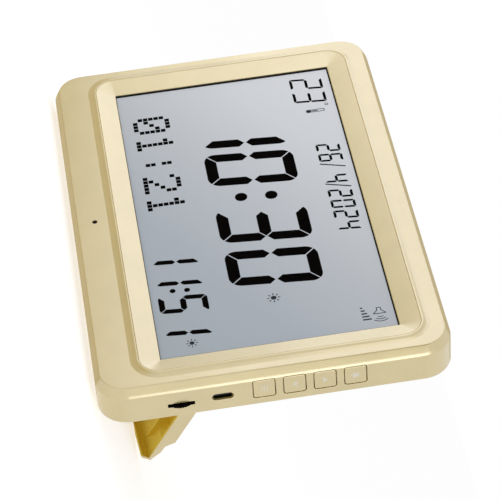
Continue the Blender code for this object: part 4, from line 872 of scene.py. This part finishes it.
def back_cover(clock, look):
    rim = RIM_WALL + GAP
    side = PLATEAU_SIDE
    section = eased(
        [
            (side + PLATEAU_SLOPE + COVER_THICKNESS, PLATEAU_BACK - COVER_THICKNESS),
            (side + COVER_THICKNESS, COVER_FRONT),
            (rim, COVER_FRONT),
            (rim, COVER_BACK, COVER_RIM_EASE),
            (side, COVER_BACK, PLATEAU_FOOT_EASE),
            (side + PLATEAU_SLOPE, PLATEAU_BACK, PLATEAU_EDGE_EASE),
            (side + 2 * PLATEAU_SLOPE, PLATEAU_BACK),
        ]
    )
    loops = [cover_loop(point.x, point.y) for point in section]
    cover = solid(loft(loops, False), "moulded_back", clock)
    sill = sill_height()
    low = (-RECESS_HALF - PAN_WALL, RECESS_FLOOR - PAN_WALL, sill - PAN_WALL)
    high = (RECESS_HALF + PAN_WALL, PLATEAU_BACK - EMBED, RECESS_TOP + PAN_WALL)
    combine(cover, box(low, high), clock, "UNION")
    middle = (sill + RECESS_TOP) / 2
    outline_at = square_at(2 * RECESS_HALF, RECESS_TOP - sill, RECESS_EASE)
    recess = mouth(outline_at, RECESS_FLOOR, PLATEAU_BACK, RECESS_EASE)
    combine(cover, recess, clock @ to_back(0, middle))
    speaker_height = (PLATEAU_LOW + sill - PAN_WALL) / 2
    inner = PLATEAU_BACK - COVER_THICKNESS - OVERRUN
    holes = []
    for index in range(GRILLE_SLOTS):
        across = (index - (GRILLE_SLOTS - 1) / 2) * GRILLE_PITCH
        length = 2 * math.sqrt((CONE_RADIUS + GRILLE_PITCH / 2) ** 2 - across**2)
        slot = mouth(square_at(GRILLE_SLOT, length, GRILLE_SLOT / 2), inner, PLATEAU_BACK, GRILLE_EASE)
        holes.append(placed(slot, to_back(SPEAKER_ACROSS + across, speaker_height)))
    seat = COVER_BACK - SCREW_HEAD_HEIGHT - GAP / 3
    for x, z in screw_places():
        bore = mouth(round_at(SCREW_HEAD_RADIUS + SCREW_CLEARANCE), seat, COVER_BACK, SCREW_SEAT_EASE)
        holes.append(placed(bore, to_back(x, z)))
    combine(cover, gather(holes), clock)
    bores = []
    for x, z in screw_places():
        start = (x, COVER_FRONT - OVERRUN, z)
        bores.append(rod(start, (x, COVER_BACK, z), SCREW_RADIUS + SCREW_CLEARANCE))
    combine(cover, gather(bores), clock)
    reach = Vector((RECESS_HALF + PAN_WALL + OVERRUN, 0, 0))
    combine(cover, rod(PIVOT - reach, PIVOT + reach, PIN_RADIUS + PIN_CLEARANCE), clock)
    piece(cover, look, "clock_body", "champagne_plastic", "back_cover", angle=HOUSING_ANGLE)


def case_screws(clock, look):
    """Pan-head screws with a cross recess."""
    seat = COVER_BACK - SCREW_HEAD_HEIGHT
    for number, (x, z) in enumerate(screw_places(), 1):
        head = raised(round_at(SCREW_HEAD_RADIUS), seat, COVER_BACK, SCREW_HEAD_EASE)
        shank = rod((0, 0, COVER_BACK - SCREW_LENGTH), (0, 0, seat + EMBED / 2), SCREW_RADIUS)
        place = clock @ to_back(x, z)
        screw = solid(head, f"cross_screw_{number}", place)
        combine(screw, shank, place, "UNION")
        turn = Matrix.Rotation(math.radians(CROSS_TURN * number), 4, "Z")
        along, half = CROSS_ARM
        for angle in (0, 90):
            arm = box((-along, -half, COVER_BACK - CROSS_DEPTH), (along, half, COVER_BACK + OVERRUN))
            spin = turn @ Matrix.Rotation(math.radians(angle), 4, "Z")
            combine(screw, placed(arm, spin), place)
        piece(screw, look, "clock_body", "steel", f"case_screw_{number}", angle=SMALL_PART_ANGLE)


# Stand


def foot_profile(drop=0):
    """The stand's upper line near its foot, as lengths along it and heights above its axis."""
    foot_top = STAND_UNDER + STAND_PLATE
    fall = STAND_TOP - foot_top
    return [(share * STAND_LENGTH, STAND_TOP - part * fall - drop) for share, part in FOOT_STEPS_SHARE]


def foot_plan(setback, width):
    """The stand seen square on, with its foot's ends swept back."""
    straight = FOOT_STRAIGHT / 2
    length = STAND_LENGTH - setback
    side = length - FOOT_SETBACK
    return [(-width, 0), (width, 0), (width, side), (straight, length), (-straight, length), (-width, side)]


def prism(outline, low, high):
    return stack([(outline, low), (outline, high)])


def across_stand(outline, low, high):
    """A prism along x, whose outline gives lengths along the stand and heights above its axis."""
    return placed(prism(outline, low, high), to_right(0, 0))


def stand_bays():
    inner_half = STAND_HALF - STAND_WALL
    first = inner_half - STAND_OUTER_BAY
    edges = [(-inner_half, -first)]
    left = -first + STAND_RIB
    count = STAND_BAYS - 2
    width = (2 * (first - STAND_RIB) - (count - 1) * STAND_RIB) / count
    for _ in range(count):
        edges.append((left, left + width))
        left += width + STAND_RIB
    return edges + [(first, inner_half)]


def stand_leg(clock, look, hollow_shade_look):
    swing = Matrix.Translation(PIVOT) @ Matrix.Rotation(-STAND_ANGLE, 4, "X")
    place = clock @ swing
    levels = []
    for sine, cosine in quarter():
        inset = FOOT_ROUND * (1 - sine)
        levels.append((foot_plan(0, STAND_HALF - inset), FOOT_LOW + FOOT_ROUND * (1 - cosine)))
    levels.append((foot_plan(0, STAND_HALF), STAND_TOP))
    leg = solid(stack(levels), "moulded_stand", place)
    high = STAND_TOP + OVERRUN
    profile = foot_profile()
    end = STAND_LENGTH + OVERRUN
    over = [(profile[0][0], high), *profile, (end, profile[-1][1]), (end, high)]
    reach = STAND_HALF + OVERRUN
    combine(leg, across_stand(over, -reach, reach), place)
    to_stand = place.inverted()
    eased_from = FOOT_LOW + FOOT_ROUND
    soften(leg, LEG_EASE, SMALL_PART_ANGLE, lambda middle: (to_stand @ middle).z > eased_from)
    foot = swing @ Vector((0, STAND_LENGTH, FOOT_LOW)) + Vector((0, 0, FOOT_FACET))
    floor = box((-BODY_WIDTH, -BODY_WIDTH, -BODY_WIDTH), (BODY_WIDTH, BODY_WIDTH, GAP))
    combine(leg, floor, level_at(clock, foot))
    across = FOOT_STRAIGHT / 2 + GAP
    low = (-across, STAND_LENGTH - FOOT_LIP - OVERRUN, FOOT_LOW - OVERRUN)
    high = (across, STAND_LENGTH + OVERRUN, FOOT_LOW + FOOT_STRIP + GAP / 3)
    combine(leg, box(low, high), place)
    under = [(x, -STAND_BARREL if along < STAND_ROOT else along) for x, along in foot_plan(FOOT_LIP, reach)]
    combine(leg, prism(under, FOOT_LOW - OVERRUN, STAND_UNDER), place)
    ceiling = foot_profile(STAND_PLATE)
    low = FOOT_LOW - OVERRUN
    hollow = [(STAND_ROOT, low), (STAND_ROOT, STAND_TOP - STAND_PLATE), *ceiling, (ceiling[-1][0], low)]
    bays = gather([across_stand(hollow, left, right) for left, right in stand_bays()])
    combine(leg, bays, place)
    half = STAND_HALF - TOUCH
    barrel = rod((-half, 0, 0), (half, 0, 0), STAND_BARREL, BARREL_STEPS)
    combine(leg, barrel, place, "UNION")
    bore = rod((-reach, 0, 0), (reach, 0, 0), PIN_RADIUS + PIN_CLEARANCE)
    combine(leg, bore, place)
    piece(leg, look, "stand", "champagne_plastic", "stand_leg", angle=SMALL_PART_ANGLE)
    # The faces inside the stand's hollow take a more saturated gold: painted shade and painted gold
    # reflection
    leg.data.materials.append(hollow_shade_look)
    for face in leg.data.polygons:
        middle = to_stand @ face.center
        within = abs(middle.x) < STAND_HALF - STAND_WALL / 2 and middle.z < STAND_TOP - STAND_PLATE / 2
        normal = to_stand.to_3x3() @ face.normal
        facing = normal.y < FACING_SHARE and normal.z < FACING_SHARE
        if within and facing and STAND_BARREL < middle.y < STAND_LENGTH - FOOT_LIP / 2:
            face.material_index = 1


# Right side


def key_marks():
    """Plain marks for the four keys, as outlines in depth and height."""
    half, thin = MARK_BAR
    bars = [rectangle(-half, z - thin, half, z + thin) for z in MARK_BAR_HEIGHTS]
    down = [[(x, -z) for x, z in reversed(MARK_TRIANGLE)]]
    bell = list(BELL_SKIRT)
    for step in range(BELL_STEPS + 1):
        angle = math.pi * step / BELL_STEPS
        across, up = BELL_DOME
        bell.append((across * math.cos(angle), BELL_DOME_HEIGHT + up * math.sin(angle)))
    bell.append(BELL_END)
    clapper = [(x, z + CLAPPER_HEIGHT) for x, z in circle(CLAPPER_RADIUS, CLAPPER_STEPS)]
    marks = {"menu": bars, "down": down, "up": [MARK_TRIANGLE], "alarm": [bell, clapper]}
    return {name: scaled(shapes) for name, shapes in marks.items()}


def keys(clock, look, mark_look):
    marks = key_marks()
    width = KEY_OPENING[0] - 2 * GAP
    height = KEY_OPENING[1] - 2 * GAP
    radius = KEY_OPENING_RADIUS - GAP
    for name, middle in zip(KEY_NAMES, key_heights()):
        place = clock @ to_right(KEY_DEPTH, middle)
        top = raised(square_at(width, height, radius), KEY_FLANGE_FRONT - EMBED / 2, HALF_WIDTH, KEY_EASE)
        cap = solid(top, f"{name}_cap", place)
        outline = rounded_square(width + 2 * KEY_FLANGE, height + 2 * KEY_FLANGE, radius)
        flange = prism(outline, KEY_FLANGE_BACK, KEY_FLANGE_FRONT)
        combine(cap, flange, place, "UNION")
        stem = rod((0, 0, KEY_STEM_END), (0, 0, KEY_FLANGE_BACK + EMBED / 2), KEY_STEM_RADIUS)
        combine(cap, stem, place, "UNION")
        body = f"{name}_key"
        piece(cap, look, body, "champagne_plastic", f"{name}_button", angle=SMALL_PART_ANGLE)
        low = HALF_WIDTH - MARK_SUNK
        mark = gather([prism(outline, low, HALF_WIDTH + MARK_LIFT) for outline in marks[name]])
        piece(solid(mark, f"{name}_mark", place), mark_look, body, "white_plastic")


def volume_wheel(clock, look):
    steps = GROOVE_STEPS * WHEEL_GROOVES

    def rim(shrink):
        points = []
        for step in range(steps):
            angle = 2 * math.pi * step / steps
            groove = WHEEL_GROOVE * (0.5 + 0.5 * math.cos(angle * WHEEL_GROOVES)) ** 2
            radius = WHEEL_RADIUS - groove + shrink
            points.append((radius * math.cos(angle), radius * math.sin(angle)))
        return points

    half = WHEEL_THICKNESS / 2
    levels = []
    for sine, cosine in quarter():
        outline = rim(WHEEL_EASE * (sine - 1))
        levels.append((outline, -half + WHEEL_EASE * (1 - cosine)))
    levels += [(outline, -height) for outline, height in reversed(levels)]
    place = clock @ Matrix.Translation((0, WHEEL_DEPTH, 0)) @ to_back(WHEEL_ACROSS, WHEEL_HEIGHT)
    wheel = solid(stack(levels), "knurled_wheel", place)
    bore = rod((0, 0, -OVERRUN), (0, 0, OVERRUN), WHEEL_BORE)
    combine(wheel, bore, place)
    piece(wheel, look, "volume_wheel", "black_plastic", "volume_wheel", angle=WHEEL_ANGLE)


def socket(clock, look):
    place = clock @ to_right(SOCKET_DEPTH, SOCKET_HEIGHT)
    outer = square_at(SOCKET_WIDTH, SOCKET_LENGTH, SOCKET_WIDTH / 2)
    back = SOCKET_MOUTH - SOCKET_REACH
    shell = solid(raised(outer, back, SOCKET_MOUTH, SOCKET_RIM_EASE), "socket_sleeve", place)
    width = SOCKET_WIDTH - 2 * SOCKET_WALL
    length = SOCKET_LENGTH - 2 * SOCKET_WALL
    outline_at = square_at(width, length, width / 2)
    inner = mouth(outline_at, back - OVERRUN, SOCKET_MOUTH, SOCKET_INNER_EASE)
    combine(shell, inner, place)
    piece(shell, look, "clock_body", "steel", "socket_shell")


def lip_wall_painted_shade(clock, look):
    """A thin black sheet on the lip's inner wall, between the lip and the display: painted shade on the
    wall.
    """
    offset = RING_TO_LIP - GAP / 6
    section = [
        (offset, LIP_DEPTH + 2 * GAP / 3),
        (offset + GAP / 2, LIP_DEPTH + GAP / 2),
        (offset + GAP / 2, PANEL_FRONT - GAP / 6),
        (offset, PANEL_FRONT - GAP / 6),
    ]
    loops = [ring_loop(across, depth) for across, depth in section]
    shade_sheet = solid(loft(loops, True), "lip_wall_painted_shade", clock)
    piece(shade_sheet, look, "clock_body", "black_rubber")


def slot_painted_shade(clock, look):
    """A black sleeve on the walls of the wheel's slot: painted shade inside the slot."""
    sheet = GAP / 3
    outer = rounded_square(*WHEEL_SLOT, GAP)
    inner = rounded_square(*(length - 2 * sheet for length in WHEEL_SLOT), GAP - sheet)
    low = HALF_WIDTH - WALL
    high = HALF_WIDTH - GAP / 2
    sleeve = stack([(outer, low), (outer, high), (inner, high), (inner, low)], True)
    slot_shade = solid(sleeve, "slot_painted_shade", clock @ to_right(WHEEL_DEPTH, WHEEL_HEIGHT))
    piece(slot_shade, look, "clock_body", "black_plastic")


def indicator(clock, look):
    """The dark pin in the chin, with a slightly domed end."""
    radius = INDICATOR_RADIUS - GAP / 2
    flange = circle(INDICATOR_FLANGE)
    seat = -WALL - GAP
    levels = [
        (flange, seat - INDICATOR_FLANGE_THICKNESS),
        (flange, seat),
        (circle(radius), seat + EMBED / 100),
    ]
    for sine, cosine in quarter():
        outline = circle(radius * max(cosine, INDICATOR_TIP_SHARE))
        levels.append((outline, -GAP - GAP * (1 - sine)))
    pin = solid(stack(levels), "indicator_pin", clock @ to_front(0, INDICATOR_HEIGHT))
    piece(pin, look, "clock_body", "clear_plastic", "indicator_lens")


# Display


def rectangle(left, low, right, high):
    return [(left, low), (right, low), (right, high), (left, high)]


def digit_segments(width, height, stroke, radius, gap):
    """The seven outlines of one upright digit about its middle, with mitred joints and round corners."""
    w = width / 2
    h = height / 2
    q = gap / math.sqrt(2)
    d = math.degrees(math.asin(gap / 2 / radius))
    top = arc(radius - w, h - radius, radius, 135 - d, 90) + arc(w - radius, h - radius, radius, 90, 45 + d)
    top += [(w - stroke - q, h - stroke), (stroke + q - w, h - stroke)]
    right = arc(w - radius, h - radius, radius, 45 - d, 0)
    half = stroke / 2
    right += [(w, q + half), (w - half, q), (w - stroke, q + half), (w - stroke, h - stroke - q)]
    middle = [(half + q - w, 0), (stroke + q - w, half), (w - stroke - q, half)]
    middle += [(w - half - q, 0), (w - stroke - q, -half), (stroke + q - w, -half)]
    flip = {"a": (1, 1, top), "b": (1, 1, right), "c": (1, -1, right), "d": (1, -1, top)}
    flip |= {"e": (-1, -1, right), "f": (-1, 1, right), "g": (1, 1, middle)}
    return {key: [(sx * x, sz * z) for x, z in outline] for key, (sx, sz, outline) in flip.items()}


def digits(text, places, middle, width, height, stroke, radius, gap):
    shapes = []
    outlines = digit_segments(width, height, stroke, radius, gap)
    for sign, across in zip(text, places):
        for key in SEGMENTS[sign]:
            shapes.append([(across + x + SLANT * z, middle + z) for x, z in outlines[key]])
    return shapes


def dot(x, z, radius):
    return [(x + u, z + v) for u, v in circle(radius, DOT_STEPS)]


def bar(start, end, width):
    """A straight stroke between two places."""
    start = Vector(start)
    end = Vector(end)
    side = (end - start).orthogonal().normalized() * width / 2
    return [tuple(start + side), tuple(start - side), tuple(end - side), tuple(end + side)]


def bow(x, z, radius, start, end, width):
    """A curved stroke about a middle."""
    outer = arc(x, z, radius + width / 2, start, end, BOW_STEPS)
    return outer + list(reversed(arc(x, z, radius - width / 2, start, end, BOW_STEPS)))


def dot_matrix():
    """A square for each lit dot of the display's row of dots."""
    shapes = []
    half = MATRIX_DOT / 2
    for index, sign in enumerate(MATRIX_TEXT):
        for up, line in enumerate(reversed(DOTS[sign])):
            for over, on in enumerate(line):
                if on == "1":
                    x = MATRIX_CORNER[0] + (MATRIX_COLUMNS * index + over + 0.5) * MATRIX_PITCH[0]
                    z = MATRIX_CORNER[1] + (up + 0.5) * MATRIX_PITCH[1]
                    shapes.append(rectangle(x - half, z - half, x + half, z + half))
    return shapes


def sun(x, z, size):
    """A small sun, which stands for the first half of the day."""
    shapes = [dot(x, z, SUN_CORE_SHARE * size)]
    middle = Vector((x, z))
    for step in range(SUN_RAYS):
        angle = math.radians(360 / SUN_RAYS * step)
        ray = size * Vector((math.cos(angle), math.sin(angle)))
        shapes.append(bar(middle + SUN_RAY_SHARE * ray, middle + ray, SUN_STROKE_SHARE * size))
    return shapes


def on_display(shapes, name, clock, look, lift):
    """Thin inked shapes on the front of the display."""
    low = -PANEL_FRONT - INK_SUNK
    bm = gather([prism(outline, low, -PANEL_FRONT + lift) for outline in scaled(shapes)])
    piece(solid(bm, name, clock @ to_front(0, 0)), look, "clock_body", "display_glass")


def scaled(shapes):
    return [[(x * MM, z * MM) for x, z in outline] for outline in shapes]


def display(clock, ink, faint, mask_and_shadow_look):
    for name, (text, places, middle, form) in DIGIT_ROWS.items():
        shapes = digits(text, places, middle, *form)
        shapes += [dot(*colon) for colon in COLONS.get(name, ())]
        on_display(shapes, name, clock, ink, INK_LIFT)
    on_display(dot_matrix(), "matrix_digits", clock, ink, INK_LIFT)
    strokes = [bar(start, end, DATE_STROKE_WIDTH) for start, end in DATE_STROKES]
    strokes += [bow(*DEGREE_RING, start, start + DEGREE_BOW, DEGREE_STROKE) for start in (0, 180)]
    for place in SUNS:
        strokes += sun(*place)
    strokes += thermometer(*THERMOMETER_PLACE)
    strokes += speaker_sign(*SPEAKER_PLACE)
    on_display(strokes, "display_signs", clock, faint, SIGN_LIFT)
    side = WINDOW_SIDE / MM
    low = WINDOW_LOW / MM
    high = WINDOW_HIGH / MM
    wide = MASK_OVERLAP
    # A printed black border round the window, wider on the left and top by a painted shadow of the lip
    sides = [
        rectangle(-side - wide, low - wide, MASK_LEFT_AND_PAINTED_SHADOW - side, high + wide),
        rectangle(side - MASK_THIN, low - wide, side + wide, high + wide),
        rectangle(-side, low - wide, side, low + MASK_THIN),
        rectangle(-side, high - MASK_TOP_AND_PAINTED_SHADOW, side, high + wide),
    ]
    on_display(sides, "display_mask_and_painted_shadow", clock, mask_and_shadow_look, MASK_LIFT)


def thermometer(x, z):
    """A small thermometer beside the temperature."""
    shapes = [dot(x, z + BULB_HEIGHT, BULB_RADIUS)]
    shapes.append(bow(x, z + TUBE_TOP, TUBE_HALF, 0, 180, SIGN_STROKE))
    low, high = TUBE_SPAN
    for side in (-TUBE_HALF, TUBE_HALF):
        shapes.append(bar((x + side, z + low), (x + side, z + high), SIGN_STROKE))
    low, high = FILLING_SPAN
    shapes.append(bar((x, z + low), (x, z + high), FILLING_WIDTH))
    return shapes


def speaker_sign(x, z):
    """A loudspeaker with its sound, and a rising row of bars below it."""
    middle = z + SPEAKER_HEIGHT
    place = [(x + u, middle + v) for u, v in SPEAKER_CORNERS]
    shapes = [bar(start, end, SIGN_STROKE) for start, end in zip(place, place[1:] + place[:1])]
    for radius in WAVE_RADII:
        shapes.append(bow(x + WAVE_ACROSS, middle, radius, -WAVE_REACH, WAVE_REACH, SIGN_STROKE))
    low, high = LEVEL_BAR_SPAN
    for step in range(LEVEL_BARS):
        across = x + LEVEL_BAR_START + LEVEL_BAR_PITCH * step
        top = z + high + LEVEL_BAR_RISE * step
        shapes.append(bar((across, z + low), (across, top), LEVEL_BAR_WIDTH))
    return shapes


# Scene


def floor_look():
    """White floor: what the camera and reflections see is white, and it keeps the clock's shadow."""
    made = material("studio_floor", FLOOR_SHADER)
    tree = made.node_tree
    shader = tree.nodes["Principled BSDF"]
    glow = node(tree, "Emission", {"Strength": scaled_rays(tree, FLOOR_GLOW)})
    both = node(tree, "AddShader", {0: shader.outputs["BSDF"], 1: glow.outputs["Emission"]})
    tree.links.new(both.outputs["Shader"], tree.nodes["Material Output"].inputs["Surface"])
    return made


def math_node(tree, operation, first, second):
    made = node(tree, "Math", {0: first, 1: second})
    made.operation = operation
    return made.outputs["Value"]


def scaled_rays(tree, strength):
    """The strength for rays from the camera, reflections and glass, and nothing for the others."""
    path = tree.nodes.new("ShaderNodeLightPath")
    most = path.outputs["Is Camera Ray"]
    for name in ("Is Glossy Ray", "Is Transmission Ray"):
        most = math_node(tree, "MAXIMUM", most, path.outputs[name])
    return math_node(tree, "MULTIPLY", most, strength)


def studio():
    world = bpy.data.worlds.new("studio")
    world.use_nodes = True
    bpy.context.scene.world = world
    tree = world.node_tree
    ground = tree.nodes["Background"]
    ground.inputs["Color"].default_value = (1, 1, 1, 1)
    level = math_node(tree, "ADD", scaled_rays(tree, 1 - WORLD_LEVEL), WORLD_LEVEL)
    tree.links.new(level, ground.inputs["Strength"])
    bm = bmesh.new()
    bmesh.ops.create_grid(bm, x_segments=FLOOR_CELLS, y_segments=FLOOR_CELLS, size=FLOOR_HALF)
    floor = solid(bm, "studio_floor", Matrix.Identity(4))
    floor.data.materials.append(floor_look())


def card(name, middle, facing, size, strength):
    """A pale card that only reflections see, as beside a product in a studio."""
    bm = bmesh.new()
    turn = Vector(facing).to_track_quat("Z", "Y").to_matrix().to_4x4()
    scale = Matrix.Diagonal((*size, 1, 1))
    bmesh.ops.create_grid(bm, x_segments=1, y_segments=1, size=0.5)
    made = solid(bm, name, Matrix.Translation(middle) @ turn @ scale)
    made.data.materials.append(material(name, {**CARD_SHADER, "Emission Strength": strength}))
    made.visible_camera = False
    made.visible_diffuse = False
    made.visible_shadow = False


def lamp(name, clock, direction, distance, size, power, color):
    """A soft lamp aimed at the clock's middle, from a direction in the clock's axes."""
    light = bpy.data.lights.new(name, "AREA")
    light.shape = "RECTANGLE"
    light.size, light.size_y = size
    light.energy = power
    light.color = color
    obj = add(name, light)
    direction = (clock.to_3x3() @ Vector(direction)).normalized()
    obj.location = clock @ Vector((0, 0, BODY_HEIGHT / 2)) + distance * direction
    obj.rotation_euler = direction.to_track_quat("Z", "Y").to_euler()


def camera(clock):
    """The photograph's camera, in the clock's axes: its picture's right is nearly the clock's up."""
    place = Matrix.Translation(CAMERA_PLACE * MM)
    turn = Matrix((CAMERA_RIGHT, -CAMERA_DOWN, -CAMERA_FORWARD)).transposed().to_4x4()
    data = bpy.data.cameras.new("photo_camera")
    data.sensor_width = CAMERA_SENSOR
    data.lens = CAMERA_LENS
    data.clip_start = CAMERA_NEAR
    obj = add("photo_camera", data)
    obj.matrix_world = clock @ place @ turn
    bpy.context.scene.camera = obj


def main():
    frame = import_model()
    clock = clock_place(frame["joints"])
    camera(clock)
    look = {slot: finish(name) for slot, name in SLOT_FINISHES.items()}
    look["display_glass"] = display_look()
    slots = {part["node"]: part["material_slot"] for part in frame["record"]["subparts"]}
    for name, node in frame["nodes"].items():
        node.data.materials.clear()
        node.data.materials.append(look[slots[name]])
    champagne = look["champagne_plastic"]
    black_and_painted_shade = finish("black_and_painted_shade")
    front_shell(clock, champagne)
    back_cover(clock, champagne)
    case_screws(clock, look["steel"])
    stand_leg(clock, champagne, finish("gold_painted_shade_and_reflection"))
    keys(clock, champagne, finish("pale_mark"))
    volume_wheel(clock, black_and_painted_shade)
    # The socket's steel is coloured dark gold-brown: painted shade and painted gold reflection
    socket(clock, finish("steel_painted_shade"))
    indicator(clock, look["clear_plastic"])
    lip_wall_painted_shade(clock, look["black_rubber"])
    slot_painted_shade(clock, black_and_painted_shade)
    display(clock, finish("display_ink"), finish("display_faint_ink"), finish("mask_black_and_painted_shadow"))
    studio()
    for name, values in LAMPS.items():
        lamp(name, clock, *values)
    for name, values in CARDS.items():
        card(name, *values)
    bpy.context.scene.view_settings.view_transform = "Standard"


main()
